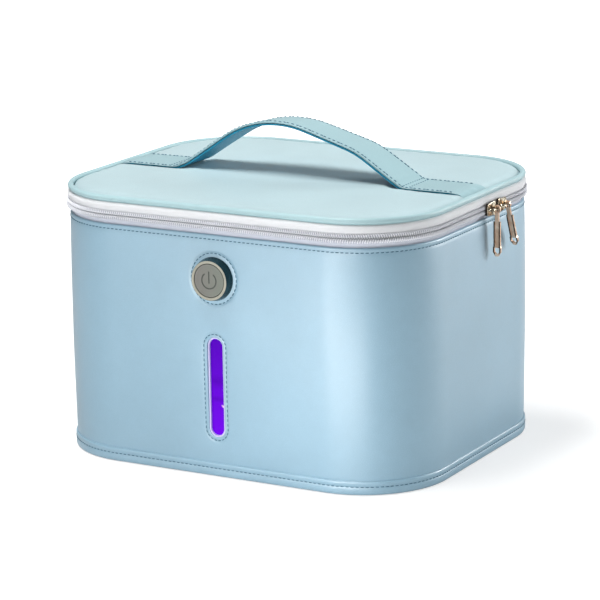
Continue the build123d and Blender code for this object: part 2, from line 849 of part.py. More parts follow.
# The base module stands on the floor liner; the lid module hangs from the lid liner
base_lamp_plane = Plane.XY.offset(floor_top)
lid_lamp_plane = Plane(origin=(0, 0, lid_liner_bottom), x_dir=(1, 0, 0), z_dir=(0, 0, -1))


def lamp_screw_points():
    """The four screw places in the rim of a lamp frame."""
    return GridLocations(2 * lamp_screw_x, 2 * lamp_screw_y, 2, 2)


def make_lamp_frame(plane):
    """A shallow tray with a broad rim, rebated for its cover and bored for four screws."""
    with BuildSketch(plane) as profile:
        RectangleRounded(lamp_length, lamp_width, lamp_corner_radius)
    extrude(profile.sketch, amount=lamp_thickness)
    with BuildSketch(plane.offset(lamp_floor)) as profile:
        RectangleRounded(cavity_length, cavity_breadth, lamp_cavity_corner_radius)
    extrude(profile.sketch, amount=lamp_thickness, mode=Mode.SUBTRACT)
    with BuildSketch(plane.offset(cover_bottom)) as profile:
        RectangleRounded(cover_length, cover_breadth, lamp_cavity_corner_radius)
    extrude(profile.sketch, amount=lamp_thickness, mode=Mode.SUBTRACT)
    with BuildSketch(plane.offset(lamp_thickness - screw_head_height)) as profile:
        with lamp_screw_points():
            Circle(screw_head / 2)
    extrude(profile.sketch, amount=screw_head_height, mode=Mode.SUBTRACT)
    with BuildSketch(plane) as profile:
        with lamp_screw_points():
            Circle(screw_shank / 2 + screw_hole_clearance)
    extrude(profile.sketch, amount=lamp_thickness, mode=Mode.SUBTRACT)


def make_lamp_board(plane):
    """The circuit board on the floor of the tray."""
    with BuildSketch(plane.offset(lamp_floor)) as profile:
        RectangleRounded(cavity_length, cavity_breadth, lamp_cavity_corner_radius)
    extrude(profile.sketch, amount=circuit_thickness)


def make_leds(plane):
    """The ultraviolet emitters on the lamp board."""
    with BuildSketch(plane.offset(lamp_board_top)) as profile:
        with GridLocations(led_pitch_x, led_pitch_y, led_columns, led_rows):
            Rectangle(led_size, led_size)
    extrude(profile.sketch, amount=led_height)


def make_lamp_cover(plane):
    """The clear sheet in the rebate of the frame."""
    with BuildSketch(plane.offset(cover_bottom)) as profile:
        RectangleRounded(cover_length, cover_breadth, lamp_cavity_corner_radius)
    extrude(profile.sketch, amount=lamp_cover_thickness)


def make_lamp_screws(plane, layers):
    """Four screws through the frame, the lining and the foam into the board."""
    shank = lamp_thickness - screw_head_height + layers + lamp_screw_bite
    with BuildSketch(plane.offset(lamp_thickness - screw_head_height)) as profile:
        with lamp_screw_points():
            Circle(screw_head / 2)
    extrude(profile.sketch, amount=screw_head_height)
    with BuildSketch(plane.offset(lamp_thickness - screw_head_height)) as profile:
        with lamp_screw_points():
            Circle(screw_shank / 2)
    extrude(profile.sketch, amount=-shank)


base_layers = liner_thickness + base_foam_thickness
lid_layers = liner_thickness + lid_lining_foam_thickness

with BuildPart() as base_lamp_frame:
    make_lamp_frame(base_lamp_plane)
    route_base_lead(lead_clearance, Mode.SUBTRACT)

with BuildPart() as base_lamp_board:
    make_lamp_board(base_lamp_plane)

with BuildPart() as base_lamp_leds:
    make_leds(base_lamp_plane)

with BuildPart() as base_lamp_cover:
    make_lamp_cover(base_lamp_plane)

with BuildPart() as base_lamp_screws:
    make_lamp_screws(base_lamp_plane, base_layers)

with BuildPart() as lid_lamp_frame:
    make_lamp_frame(lid_lamp_plane)
    route_lid_lamp_lead(lead_clearance, Mode.SUBTRACT)

with BuildPart() as lid_lamp_board:
    make_lamp_board(lid_lamp_plane)

with BuildPart() as lid_lamp_leds:
    make_leds(lid_lamp_plane)

with BuildPart() as lid_lamp_cover:
    make_lamp_cover(lid_lamp_plane)

with BuildPart() as lid_lamp_screws:
    make_lamp_screws(lid_lamp_plane, lid_layers)


# ---------------------------------------------------------------- flat leads
with BuildPart() as power_lead:
    route_power_lead()

with BuildPart() as base_lamp_lead:
    route_base_lead()

with BuildPart() as lid_lead_lower:
    route_lid_lead()

with BuildPart() as lid_lead_upper:
    route_lid_lamp_lead()


# ---------------------------------------------------------------- zip sliders
slider_middle = zip_middle
plate_outer = slider_x + slider_plate
back_plate_outer = case_width / 2 - tape_inset - slider_clearance
post_height = coil_slit - 2 * slider_post_clearance


def slider_plane(x, y):
    """A plane facing +X on the middle of the zip; its own x runs along +Y."""
    return Plane(origin=(x, y, slider_middle), x_dir=(0, 1, 0), z_dir=(1, 0, 0))


def make_slider(y, nose):
    """
    One slider at `y`; `nose` is +1 or -1, the way its wide end faces along Y.
    A front plate, a back plate and the post that joins them between the two coil rows.
    """
    half = slider_length / 2
    with BuildSketch(slider_plane(slider_x, y)) as profile:
        with BuildLine():
            Polyline(
                (nose * half, -slider_height / 2),
                (nose * half, slider_height / 2),
                (-nose * half, slider_tail_height / 2),
                (-nose * half, -slider_tail_height / 2),
                close=True,
            )
        make_face()
        fillet(profile.vertices(), radius=slider_corner)
    extrude(profile.sketch, amount=slider_plate)
    fillet(faces().sort_by(Axis.X)[-1].edges(), radius=slider_edge)
    flange_low = -slider_tail_height / 2
    flange_half = half - slider_corner
    flange_inner = case_width / 2 + tape_proud + slider_clearance
    box_between(
        (flange_inner, y - flange_half, slider_middle + flange_low),
        (slider_x + slider_clearance, y + flange_half, slider_middle + flange_low + slider_flange),
    )
    post_y = y + nose * (half - slider_post_length / 2 - slider_flange)
    box_between(
        (
            back_plate_outer - slider_back_plate,
            post_y - slider_post_length / 2,
            slider_middle - post_height / 2,
        ),
        (
            slider_x + slider_clearance,
            post_y + slider_post_length / 2,
            slider_middle + post_height / 2,
        ),
    )
    with BuildSketch(slider_plane(back_plate_outer, y)) as profile:
        RectangleRounded(slider_length - slider_flange, slider_back_height, slider_flange)
    extrude(profile.sketch, amount=-slider_back_plate)
    make_bridge(y)


def make_bridge(y):
    """The bent wire on the front plate that the pull hangs from."""
    root = plate_outer - slider_plate / 2
    bridge_plane = Plane(origin=(0, 0, slider_middle), x_dir=(1, 0, 0), z_dir=(0, 0, 1))
    with BuildLine(bridge_plane) as bridge:
        FilletPolyline(
            (root, y - bridge_span / 2),
            (bridge_x, y - bridge_span / 2),
            (bridge_x, y + bridge_span / 2),
            (root, y + bridge_span / 2),
            radius=bridge_bend,
        )
    path = bridge.wires()[0]
    with BuildSketch(Plane(origin=path @ 0, z_dir=path % 0)) as profile:
        Circle(bridge_wire / 2)
    sweep(profile.sketch, path=path)


with BuildPart() as front_slider:
    make_slider(front_slider_y, 1)

with BuildPart() as rear_slider:
    make_slider(rear_slider_y, -1)


# ---------------------------------------------------------------- slider pulls
def draw_pull():
    """The flat outline of a pull, hanging down its own -y from the middle of the bridge wire."""
    eye_outer = pull_eye_inner + pull_eye_wall
    eye_middle = pull_float - pull_eye_slot / 2
    ring_top = -(pull_bar_start + pull_bar_length)
    ring_end = -pull_length
    ring_knee = ring_end + pull_ring_width / 2
    with Locations((0, eye_middle)):
        SlotOverall(pull_eye_slot + 2 * eye_outer, 2 * eye_outer, rotation=90)
    neck_middle = -(pull_neck_start / 2 + pull_bar_start) / 2
    neck_length = pull_bar_start - pull_neck_start / 2 + pull_eye_wall
    with Locations((0, neck_middle)):
        Rectangle(pull_neck_width, neck_length)
    with BuildLine() as bar_outline:
        Polyline(
            (-pull_width / 2, -pull_bar_start),
            (pull_width / 2, -pull_bar_start),
            (pull_width / 2, ring_top),
            (pull_ring_width / 2, ring_top - pull_ring_wall),
            (pull_ring_width / 2, ring_knee),
            (pull_ring_wall, ring_end),
            (-pull_ring_wall, ring_end),
            (-pull_ring_width / 2, ring_knee),
            (-pull_ring_width / 2, ring_top - pull_ring_wall),
            (-pull_width / 2, ring_top),
            close=True,
        )
    make_face(bar_outline.edges())
    with Locations((0, eye_middle)):
        SlotOverall(
            pull_eye_slot + 2 * pull_eye_inner, 2 * pull_eye_inner, rotation=90, mode=Mode.SUBTRACT
        )
    hole_half = pull_ring_width / 2 - pull_ring_wall
    with BuildLine() as hole_outline:
        Polyline(
            (-hole_half, ring_top - pull_ring_wall),
            (hole_half, ring_top - pull_ring_wall),
            (hole_half, ring_knee),
            (0, ring_end + pull_ring_tip),
            (-hole_half, ring_knee),
            close=True,
        )
    make_face(hole_outline.edges(), mode=Mode.SUBTRACT)


def make_pull(plane):
    """A pull stamped from plate, with a groove down both faces of its bar."""
    with BuildSketch(plane) as profile:
        draw_pull()
    extrude(profile.sketch, amount=pull_thickness / 2, both=True)
    groove_middle = -(pull_bar_start + pull_bar_length / 2)
    groove_length = pull_bar_length - 2 * pull_ring_wall
    for side in (1, -1):
        with BuildSketch(plane.offset(side * pull_thickness / 2)) as profile:
            with Locations((0, groove_middle)):
                Rectangle(pull_groove_width, groove_length)
        extrude(profile.sketch, amount=-side * pull_groove_depth, mode=Mode.SUBTRACT)


def pull_plane(y, tilt):
    """A plane facing -Y through the bridge wire, tilted so that the pull's foot swings to +Y."""
    lean = radians(tilt)
    return Plane(
        origin=(bridge_x, y + pull_offset, slider_middle),
        x_dir=(1, 0, 0),
        z_dir=(0, -1, -tan(lean)),
    )


with BuildPart() as front_pull_tab:
    make_pull(pull_plane(front_slider_y, 0))

with BuildPart() as rear_pull_tab:
    make_pull(pull_plane(rear_slider_y, rear_pull_tilt))


# ---------------------------------------------------------------- wire rack
rack_length = case_width - 2 * (chamber_inset + rack_end_gap) - rack_frame_wire
rack_width = case_depth - 2 * (cover_back + screw_head_height + rack_control_gap) - rack_frame_wire
rack_cross_height = floor_top + rack_height - rack_cross_wire / 2
rack_wire_height = rack_cross_height - (rack_cross_wire + rack_frame_wire) / 2 + rack_weld
leg_end = rack_cross_height - rack_cross_wire / 2
leg_foot = floor_top + rack_frame_wire / 2
leg_x = rack_cross_pitch * (rack_cross_count - 1) / 2


def make_rod(start, end, diameter):
    """A straight round wire between two points."""
    run = Vector(*end) - Vector(*start)
    with BuildSketch(Plane(origin=start, x_dir=(0, 0, 1), z_dir=run)) as profile:
        Circle(diameter / 2)
    extrude(profile.sketch, amount=run.length)


with BuildPart() as rack_grid:
    with BuildSketch(Plane.XY.offset(rack_wire_height), mode=Mode.PRIVATE) as rack_outline:
        RectangleRounded(rack_length, rack_width, rack_corner_radius)
    rack_path = rack_outline.sketch.face().outer_wire()
    with BuildSketch(Plane(origin=rack_path @ 0, x_dir=(0, 0, 1), z_dir=rack_path % 0)):
        Circle(rack_frame_wire / 2)
    sweep(path=rack_path)
    corner_x = rack_length / 2 - rack_corner_radius
    stringer_beyond = max(rack_stringer_y - (rack_width / 2 - rack_corner_radius), 0)
    stringer_reach = corner_x + (rack_corner_radius**2 - stringer_beyond**2) ** 0.5
    for index in range(rack_cross_count):
        wire_x = (index - (rack_cross_count - 1) / 2) * rack_cross_pitch
        beyond = max(abs(wire_x) - corner_x, 0)
        drop = rack_corner_radius - (rack_corner_radius**2 - beyond**2) ** 0.5
        reach = rack_width / 2 - drop + rack_cross_overhang
        make_rod(
            (wire_x, -reach, rack_cross_height), (wire_x, reach, rack_cross_height), rack_cross_wire
        )
    for side in (-1, 1):
        make_rod(
            (-stringer_reach, side * rack_stringer_y, rack_wire_height),
            (stringer_reach, side * rack_stringer_y, rack_wire_height),
            rack_stringer_wire,
        )

with BuildPart() as rack_legs:
    for side in (-1, 1):
        leg_plane = Plane(origin=(side * leg_x, 0, 0), x_dir=(0, 1, 0), z_dir=(1, 0, 0))
        with BuildLine(leg_plane) as leg:
            FilletPolyline(
                (-rack_leg_span / 2, leg_end),
                (-rack_leg_span / 2, leg_foot),
                (rack_leg_span / 2, leg_foot),
                (rack_leg_span / 2, leg_end),
                radius=rack_leg_bend,
            )
        leg_path = leg.wires()[0]
        with BuildSketch(Plane(origin=leg_path @ 0, z_dir=leg_path % 0)):
            Circle(rack_frame_wire / 2)
        sweep(path=leg_path)


# ---------------------------------------------------------------- labels and files
pieces = {
    "base_leather": base_leather,
    "bottom_binding": bottom_binding,
    "base_board": base_board,
    "base_foam": base_foam,
    "floor_liner": floor_liner,
    "body_leather": body_leather,
    "body_board": body_board,
    "body_foam": body_foam,
    "body_liner": body_liner,
    "rim_binding": rim_binding,
    "lower_zip_tape": lower_zip_tape,
    "lower_zip_coil": lower_zip_coil,
    "hinge_strip_lower": hinge_strip_lower,
    "button_housing": button_housing,
    "button_lock_nut": button_lock_nut,
    "button_cap": button_cap,
    "control_backplate": control_backplate,
    "control_board": control_board,
    "control_cover": control_cover,
    "control_screws": control_screws,
    "window_bezel": window_bezel,
    "window_lens": window_lens,
    "socket_bezel": socket_bezel,
    "usb_socket": usb_socket,
    "socket_box": socket_box,
    "base_lamp_frame": base_lamp_frame,
    "base_lamp_board": base_lamp_board,
    "base_lamp_leds": base_lamp_leds,
    "base_lamp_cover": base_lamp_cover,
    "base_lamp_screws": base_lamp_screws,
    "power_lead": power_lead,
    "base_lamp_lead": base_lamp_lead,
    "lid_lead_lower": lid_lead_lower,
    "lid_leather": lid_leather,
    "lid_pad_foam": lid_pad_foam,
    "lid_board": lid_board,
    "lid_lining_foam": lid_lining_foam,
    "lid_liner": lid_liner,
    "lid_piping": lid_piping,
    "upper_zip_tape": upper_zip_tape,
    "upper_zip_coil": upper_zip_coil,
    "hinge_strip_upper": hinge_strip_upper,
    "lid_lamp_frame": lid_lamp_frame,
    "lid_lamp_board": lid_lamp_board,
    "lid_lamp_leds": lid_lamp_leds,
    "lid_lamp_cover": lid_lamp_cover,
    "lid_lamp_screws": lid_lamp_screws,
    "lid_lead_upper": lid_lead_upper,
    "lid_magnet": lid_magnet,
    "handle_top_layer": handle_top_layer,
    "handle_under_layer": handle_under_layer,
    "front_slider": front_slider,
    "rear_slider": rear_slider,
    "front_pull_tab": front_pull_tab,
    "rear_pull_tab": rear_pull_tab,
    "rack_grid": rack_grid,
    "rack_legs": rack_legs,
}

os.makedirs("parts", exist_ok=True)
for name, piece in pieces.items():
    piece.part.label = name
    export_step(piece.part, f"parts/{name}.step")
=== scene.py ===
import math

import bmesh
import bpy
import numpy as np
from mathutils import Matrix, Vector


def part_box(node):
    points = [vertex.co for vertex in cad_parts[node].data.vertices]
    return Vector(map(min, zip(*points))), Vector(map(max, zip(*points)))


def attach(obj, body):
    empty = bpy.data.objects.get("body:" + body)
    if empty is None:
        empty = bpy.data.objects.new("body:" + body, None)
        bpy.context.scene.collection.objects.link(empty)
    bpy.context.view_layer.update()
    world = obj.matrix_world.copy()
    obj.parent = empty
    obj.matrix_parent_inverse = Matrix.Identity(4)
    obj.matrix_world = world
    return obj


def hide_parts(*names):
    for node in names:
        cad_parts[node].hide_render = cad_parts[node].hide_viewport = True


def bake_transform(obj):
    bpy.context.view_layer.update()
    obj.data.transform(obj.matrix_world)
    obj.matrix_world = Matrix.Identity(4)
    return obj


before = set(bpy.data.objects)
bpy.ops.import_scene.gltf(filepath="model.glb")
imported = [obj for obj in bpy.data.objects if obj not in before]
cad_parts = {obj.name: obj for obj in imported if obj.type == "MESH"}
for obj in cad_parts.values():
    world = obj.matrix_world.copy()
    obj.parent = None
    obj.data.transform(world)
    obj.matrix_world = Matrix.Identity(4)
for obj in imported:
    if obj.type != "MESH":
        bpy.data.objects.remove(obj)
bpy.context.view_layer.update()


# ---------- table and studio
# The case stands on a white sheet that sweeps up behind it. Soft lamps hang low in
# front, high on the left and behind on the right. One glowing card lies on the sheet
# and one stands close by, so that the front wall's satin leather mirrors them.
class Strand:
    """One value in a finish. Sums written on strands add the nodes that work them out."""

    def __init__(self, tree, socket=None):
        self.tree = tree
        self.socket = socket

    def node(self, kind, settings, sockets, out=0):
        """Adds a node: its settings first, then the values or links of its sockets."""
        made = self.tree.nodes.new("ShaderNode" + kind)
        for name, value in settings.items():
            setattr(made, name, value)
        for name, value in sockets.items():
            if isinstance(value, Strand):
                self.tree.links.new(value.socket, made.inputs[name])
            else:
                made.inputs[name].default_value = value
        return Strand(self.tree, made.outputs[out])

    def feed(self, **values):
        """Links strands to the sockets of the finish's shader."""
        shader = self.tree.nodes["Principled BSDF"]
        for socket, value in values.items():
            self.tree.links.new(value.socket, shader.inputs[socket.replace("_", " ")])

    def sum(self, operation, one, two):
        return self.node("Math", {"operation": operation}, {0: one, 1: two})

    def __add__(self, other):
        return self.sum("ADD", self, other)

    def __sub__(self, other):
        return self.sum("SUBTRACT", self, other)

    def __rsub__(self, other):
        return self.sum("SUBTRACT", other, self)

    def __mul__(self, other):
        return self.sum("MULTIPLY", self, other)

    def __pow__(self, other):
        return self.sum("POWER", self, other)

    def __abs__(self):
        return self.sum("ABSOLUTE", self, 0.0)

    __radd__ = __add__
    __rmul__ = __mul__

    def or_more(self, other):
        """The greater of two values."""
        return self.sum("MAXIMUM", self, other)

    def clipped(self, low, high):
        """This value stretched so that low becomes 0 and high becomes 1, and held there."""
        sockets = {"Value": self, "From Min": low, "From Max": high}
        return self.node("MapRange", {"clamp": True}, sockets)

    def tint(self, one, two):
        """One colour where this value is 0, the other where it is 1."""
        return self.node("Mix", {"data_type": "RGBA"}, {0: self, 6: one, 7: two}, 2)

    def place(self):
        """The point on the piece, in metres."""
        return self.node("TexCoord", {}, {}, "Object")

    def stretched(self, scale):
        """The point on the piece, stretched to draw brush marks and scratches."""
        return self.node("Mapping", {}, {"Vector": self.place(), "Scale": scale})

    def axes(self, vector=None):
        """The three parts of a vector, or of the point on the piece, each as its own strand."""
        vector = vector or self.place()
        return [self.node("SeparateXYZ", {}, {0: vector}, part) for part in range(3)]

    def noise(self, size, detail=2.0, rough=0.5, place=None):
        """Cloudy noise with lumps about `size` millimetres across."""
        sockets = {"Vector": place or self.place(), "Scale": 1000 / size}
        sockets |= {"Detail": detail, "Roughness": rough}
        return self.node("TexNoise", {}, sockets)

    def wave(self, place, scale, direction, wander):
        """Bands of ribs or strands that run one way over a piece."""
        sockets = {"Vector": place, "Scale": scale, "Distortion": wander}
        return self.node("TexWave", {"bands_direction": direction}, sockets)

    def bump(self, height, depth):
        """Dents and grain `depth` millimetres deep where height goes from 0 to 1."""
        sockets = {"Height": height, "Strength": 1.0, "Distance": depth / 1000}
        return self.node("Bump", {}, sockets)


def linear(red, green, blue):
    """A paint colour given from 0 to 255, as the shader wants it."""
    parts = [c / 255 for c in (red, green, blue)]
    parts = [c / 12.92 if c < 0.04045 else ((c + 0.055) / 1.055) ** 2.4 for c in parts]
    return (*parts, 1.0)


def stand(name, data):
    """Puts a shape, a lamp or a lens in the scene."""
    made = bpy.data.objects.new(name, data)
    bpy.context.scene.collection.objects.link(made)
    return made


def new_finish(name, **fixed):
    """A new material with its shader's fixed values set, and a strand to draw from."""
    made = bpy.data.materials.new(name)
    made.use_nodes = True
    shader = made.node_tree.nodes["Principled BSDF"]
    for socket, value in fixed.items():
        shader.inputs[socket.replace("_", " ")].default_value = value
    return made, Strand(made.node_tree)


def seen_straight(strand):
    """1 for what the eye sees directly or through clear plastic, 0 for anything else."""
    direct = strand.node("LightPath", {}, {}, "Is Camera Ray")
    return direct.or_more(strand.node("LightPath", {}, {}, "Is Transmission Ray"))


sheet_grey = 0.52
sheet_lift = 0.56
sweep_back = 2.2
sweep_radius = 1.2
sheet_colour = (sheet_grey, sheet_grey, sheet_grey, 1)
sheet, strand = new_finish("white_sheet", Roughness=0.9, Base_Color=sheet_colour)
strand.feed(Normal=strand.bump(strand.noise(3.0), 0.05))
across, ahead, up = strand.axes()
away = (across * across + ahead * ahead) ** 0.5
plain_view = seen_straight(strand) * (sheet_lift + away.clipped(0.4, 1.3) * 0.6)
mirror_view = strand.node("LightPath", {}, {}, "Is Glossy Ray") * up.clipped(0.02, 0.4) * 0.22
glow_sockets = {"Color": (1, 1, 1, 1), "Strength": plain_view.or_more(mirror_view)}
glow = strand.node("Emission", {}, glow_sockets)
paper = Strand(sheet.node_tree, sheet.node_tree.nodes["Principled BSDF"].outputs[0])
both = strand.node("AddShader", {}, {0: paper, 1: glow})
sheet_out = sheet.node_tree.nodes["Material Output"]
sheet.node_tree.links.new(both.socket, sheet_out.inputs["Surface"])

sweep = [(-3.0, 0.0), (sweep_back, 0.0)]
for turn in math.pi / 2 * np.arange(1, 13) / 12:
    rise = sweep_radius * (1 - math.cos(turn))
    sweep.append((sweep_back + sweep_radius * math.sin(turn), rise))
sweep.append((sweep_back + sweep_radius, 5.0))
sheet_points = [(x, y, z - 0.0002) for x in (-5.0, 5.0) for y, z in sweep]
sheet_faces = [(i, i + 1, i + 1 + len(sweep), i + len(sweep)) for i in range(len(sweep) - 1)]
table_mesh = bpy.data.meshes.new("table_sheet")
table_mesh.from_pydata(sheet_points, [], sheet_faces)
table_mesh.materials.append(sheet)
table_mesh.shade_smooth()
table = stand("table_sheet", table_mesh)

# The room is dim and even, but for a dark corner that the right side wall mirrors.
room = bpy.data.worlds.new("white_room")
bpy.context.scene.world = room
room.use_nodes = True
room_air = Strand(room.node_tree)
across, ahead, up = room_air.axes(room_air.node("TexCoord", {}, {}, "Generated"))
turn = room_air.sum("ARCTAN2", across, ahead * -1.0)
dark_corner = turn.clipped(0.45, 0.75) * (1 - turn.clipped(1.5, 1.9))
room_level = 0.145 - 0.10 * dark_corner
room_glow = room.node_tree.nodes["Background"].inputs
room_strength = seen_straight(room_air).or_more(room_level)
room.node_tree.links.new(room_strength.socket, room_glow["Strength"])
room_glow["Color"].default_value = (1, 1, 1, 1)


def hang_lamp(name, place, aim, size, power):
    """A soft lamp with a flat face that looks at a point."""
    lamp = stand(name, bpy.data.lights.new(name, "AREA"))
    lamp.data.shape = "RECTANGLE"
    lamp.data.size, lamp.data.size_y = size
    lamp.data.energy = power
    lamp.location = place
    lamp.rotation_mode = "QUATERNION"
    lamp.rotation_quaternion = (Vector(aim) - Vector(place)).to_track_quat("-Z", "Y")
    lamp.visible_camera = False
    return lamp


card_turn = math.radians(-29.4)
hang_lamp("front_lamp", (-0.05, -1.8, 0.17), (0, 0, 0.10), (1.50, 0.34), 15.2)
hang_lamp("top_lamp", (-0.30, -0.18, 1.58), (0, 0, 0.15), (0.90, 0.30), 27)
hang_lamp("side_lamp", (1.45, 1.38, 0.60), (0.1, 0, 0.08), (1.0, 1.0), 39)
far_card = hang_lamp("far_card", (-0.12, -0.73, 0.004), (0, 0, 1), (0.22, 0.50), 2.35)
far_card.rotation_mode = "XYZ"
far_card.rotation_euler = (math.pi, 0, card_turn)
hang_lamp("near_card", (0.096, -0.252, 0.042), (0.056, -0.108, 0.048), (0.17, 0.07), 0.126)

# The camera stands right of the front, a little above the lid, with a long lens.
camera_turn = math.radians(29.41)
camera_rise = math.radians(13.4)
camera_roll = math.radians(-0.95)
camera_reach = 1.89556
camera_aim = (-0.00096, 0.0, 0.10676)
aimed = Matrix.Translation(camera_aim) @ Matrix.Rotation(camera_turn, 4, "Z")
tipped = Matrix.Rotation(math.pi / 2 - camera_rise, 4, "X")
rolled = Matrix.Rotation(camera_roll, 4, "Z")
camera = stand("camera", bpy.data.cameras.new("camera"))
camera.data.sensor_width = 36.0
camera.data.lens = 172.72
camera.data.shift_x = 0.0032
camera.data.shift_y = -0.0388
camera.data.clip_start = 0.1
camera.data.clip_end = 20.0
camera.matrix_world = aimed @ tipped @ rolled @ Matrix.Translation((0, 0, camera_reach))
bpy.context.scene.camera = camera
bpy.context.scene.view_settings.view_transform = "Standard"


# ---------- leather walls
# One hoop of padded artificial leather, 1.4 mm thick, bent round the four corners
# and sewn end to end at the middle of the back. Its top edge is turned and
# top-stitched beside the zip, and it is cut for the button, window and inlet.
def box_mm(node):
    """A node's lowest and highest corners, in millimetres."""
    low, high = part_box(node)
    return np.array(low) * 1000, np.array(high) * 1000


wall_low, wall_high = box_mm("body_leather")
wall_corner = 56.0
straight_x, straight_y, rim = wall_high - (wall_corner, wall_corner, 0)
bend = wall_corner * math.pi / 2
long_side, short_side = [bend, 2 * straight_x], [bend, 2 * straight_y]
turns = np.cumsum([0, straight_x] + short_side + long_side + short_side + [bend, straight_x])
wall_round = turns[-1]
turn_angles = np.radians([-90, -90, 0, 0, 90, 90, 180, 180, 270, 270])
turn_x = straight_x * np.array([0, 1, 1, 1, 1, -1, -1, -1, -1, 0])
turn_y = straight_y * np.array([-1, -1, -1, 1, 1, 1, 1, -1, -1, -1])


def facing(s):
    """Which way the wall looks, s millimetres round from the middle of the front."""
    angle = np.interp(np.mod(s, wall_round), turns, turn_angles)
    return np.stack([np.cos(angle), np.sin(angle), 0 * angle], -1)


def on_wall(s, out, z):
    """The point s round from the middle of the front, z up, and `out` proud of the wall."""
    s, out, z = np.broadcast_arrays(np.asarray(s, float), out, z)
    here = np.mod(s, wall_round)
    middle = np.stack([np.interp(here, turns, turn_x), np.interp(here, turns, turn_y), z], -1)
    return middle + facing(s) * (wall_corner + out)[..., None]


def build(name, points, faces, finish, body, marks=None):
    """Makes a piece from points in millimetres; marks are each corner's place on its cloth."""
    mesh = bpy.data.meshes.new(name)
    mesh.from_pydata((np.asarray(points).reshape(-1, 3) / 1000).tolist(), [], faces)
    mesh.materials.append(finish)
    if marks is not None:
        layer = mesh.uv_layers.new(name="cloth")
        layer.data.foreach_set("uv", (np.asarray(marks) / 1000).ravel())
    tidy = bmesh.new()
    tidy.from_mesh(mesh)
    bmesh.ops.recalc_face_normals(tidy, faces=tidy.faces)
    tidy.to_mesh(mesh)
    tidy.free()
    mesh.shade_smooth()
    piece = stand(name, mesh)
    if body:
        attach(piece, body)
    return piece


def net(rows, columns, kept=None):
    """Faces over rows of points, each row closed on itself; kept can leave some out."""
    kept = np.ones((rows - 1, columns)) if kept is None else kept
    return [
        (r * columns + c, r * columns + n, (r + 1) * columns + n, (r + 1) * columns + c)
        for r, c in np.argwhere(kept).tolist()
        for n in [(c + 1) % columns]
    ]


def thicken(outer, inner, faces):
    """A closed skin from two copies of one pattern, joined along its open edges."""
    count = len(outer)
    edges = {(one, two): 1 for face in faces for one, two in zip(face, face[1:] + face[:1])}
    skin = faces + [tuple(i + count for i in reversed(face)) for face in faces]
    skin += [(a + count, b + count, b, a) for a, b in edges if (b, a) not in edges]
    used = np.unique([i for face in faces for i in face])
    place = np.zeros(2 * count, int)
    place[used] = np.arange(len(used))
    place[used + count] = np.arange(len(used)) + len(used)
    points = np.concatenate([outer[used], inner[used]])
    return points, [tuple(place[list(face)].tolist()) for face in skin]


def unit(vectors):
    """Each vector cut to length 1."""
    return vectors / np.linalg.norm(vectors, axis=-1)[..., None]


def ripple(points):
    """How far sewn leather wanders from true, in millimetres, at each point."""
    x, y, z = np.moveaxis(points, -1, 0)
    wide = np.sin(x / 27 + 1.1) * np.sin(z / 35 + 0.3) + np.sin(y / 24 + 2.0) * np.sin(z / 29 + 1.7)
    fine = np.sin(x / 11 + z / 17 + 0.6) * np.sin(y / 13 - z / 23 + 1.9)
    return 0.16 * wide + 0.07 * fine


def dip(distance, depth, width):
    """A sewn groove: the depth falls away with distance from its line."""
    return -depth * np.exp(-((distance / width) ** 2))


def rounded_off(share):
    """How far a quarter-round edge has dropped, from 0 at its start to 1 at its end."""
    return 1 - np.sqrt(1 - np.clip(share, 0, 1) ** 2)


rim_seam_z = 154.0
button_low, button_high = box_mm("button_housing")
button_z = (button_low[2] + button_high[2]) / 2
window_middle = sum(box_mm("window_bezel"))[2] / 2
slot_width, slot_height = 11.5, 65.0
slot_radius = slot_width / 2
slot_run = slot_height / 2 - slot_radius
button_hole = 9.2
button_seam = 16.3
window_seam = 2.3
edge_turn = 0.9
leather_thick = 1.4
wall_tuck = 7.2  # the walls run down behind the bottom binding
side_middles = wall_round * np.arange(4) / 4
side_middles[1] = straight_x + bend + straight_y
side_middles[3] = wall_round - side_middles[1]


def short_way(s):
    """The shorter way round the walls to s, less than nothing when it is to the left."""
    return np.mod(s + wall_round / 2, wall_round) - wall_round / 2


def window_distance(s, z):
    """How far outside the window's upright pill-shaped slot a point is."""
    rise = z - window_middle
    return np.hypot(s, rise - np.clip(rise, -slot_run, slot_run)) - slot_radius


def wall_relief(s, z):
    """How proud the finished leather is of the true wall, all round."""
    s, z = np.broadcast_arrays(np.asarray(s, float), np.asarray(z, float))
    s = short_way(s)
    height = np.sin(np.clip((z - 9) / (rim - 9), 0, 1) * math.pi)
    along = np.min([np.abs(short_way(s - middle)) for middle in side_middles], axis=0)
    bow = np.cos(np.clip(along / (straight_x + 12), 0, 1) * math.pi / 2)
    out = height**0.6 * (0.35 + 1.3 * bow) + ripple(on_wall(s, 0, z))
    from_join = wall_round / 2 - np.abs(s)
    out = out + dip(from_join, 0.55, 0.7) - dip(from_join - 2.2, 0.12, 1.6)
    out = out + dip(z - rim_seam_z, 0.20, 1.1) - dip(z - 155.6, 0.05, 1.0)
    out = out - edge_turn * rounded_off((z - (rim - edge_turn)) / edge_turn)
    front = np.abs(s) < 40
    from_button = np.hypot(s, z - button_z)
    out = out + front * (dip(from_button - button_seam, 0.42, 1.0) + dip(from_button, 0.75, 15.5))
    from_window = window_distance(s, z)
    sewn = dip(from_window - window_seam, 0.32, 0.8) + dip(np.maximum(from_window, 0), 0.35, 6.0)
    return out + front * (sewn - edge_turn * rounded_off(1 - from_window / edge_turn))


def hole_edge(block, middle_z, half_run, radius):
    """The nearest points on an upright pill-shaped hole, and the way out from each."""
    reach = np.clip(block[:, 1] - middle_z, -half_run, half_run) + middle_z
    spine = np.stack([0 * reach, reach], -1)
    outward = unit(block - spine)
    return spine + outward * radius, outward


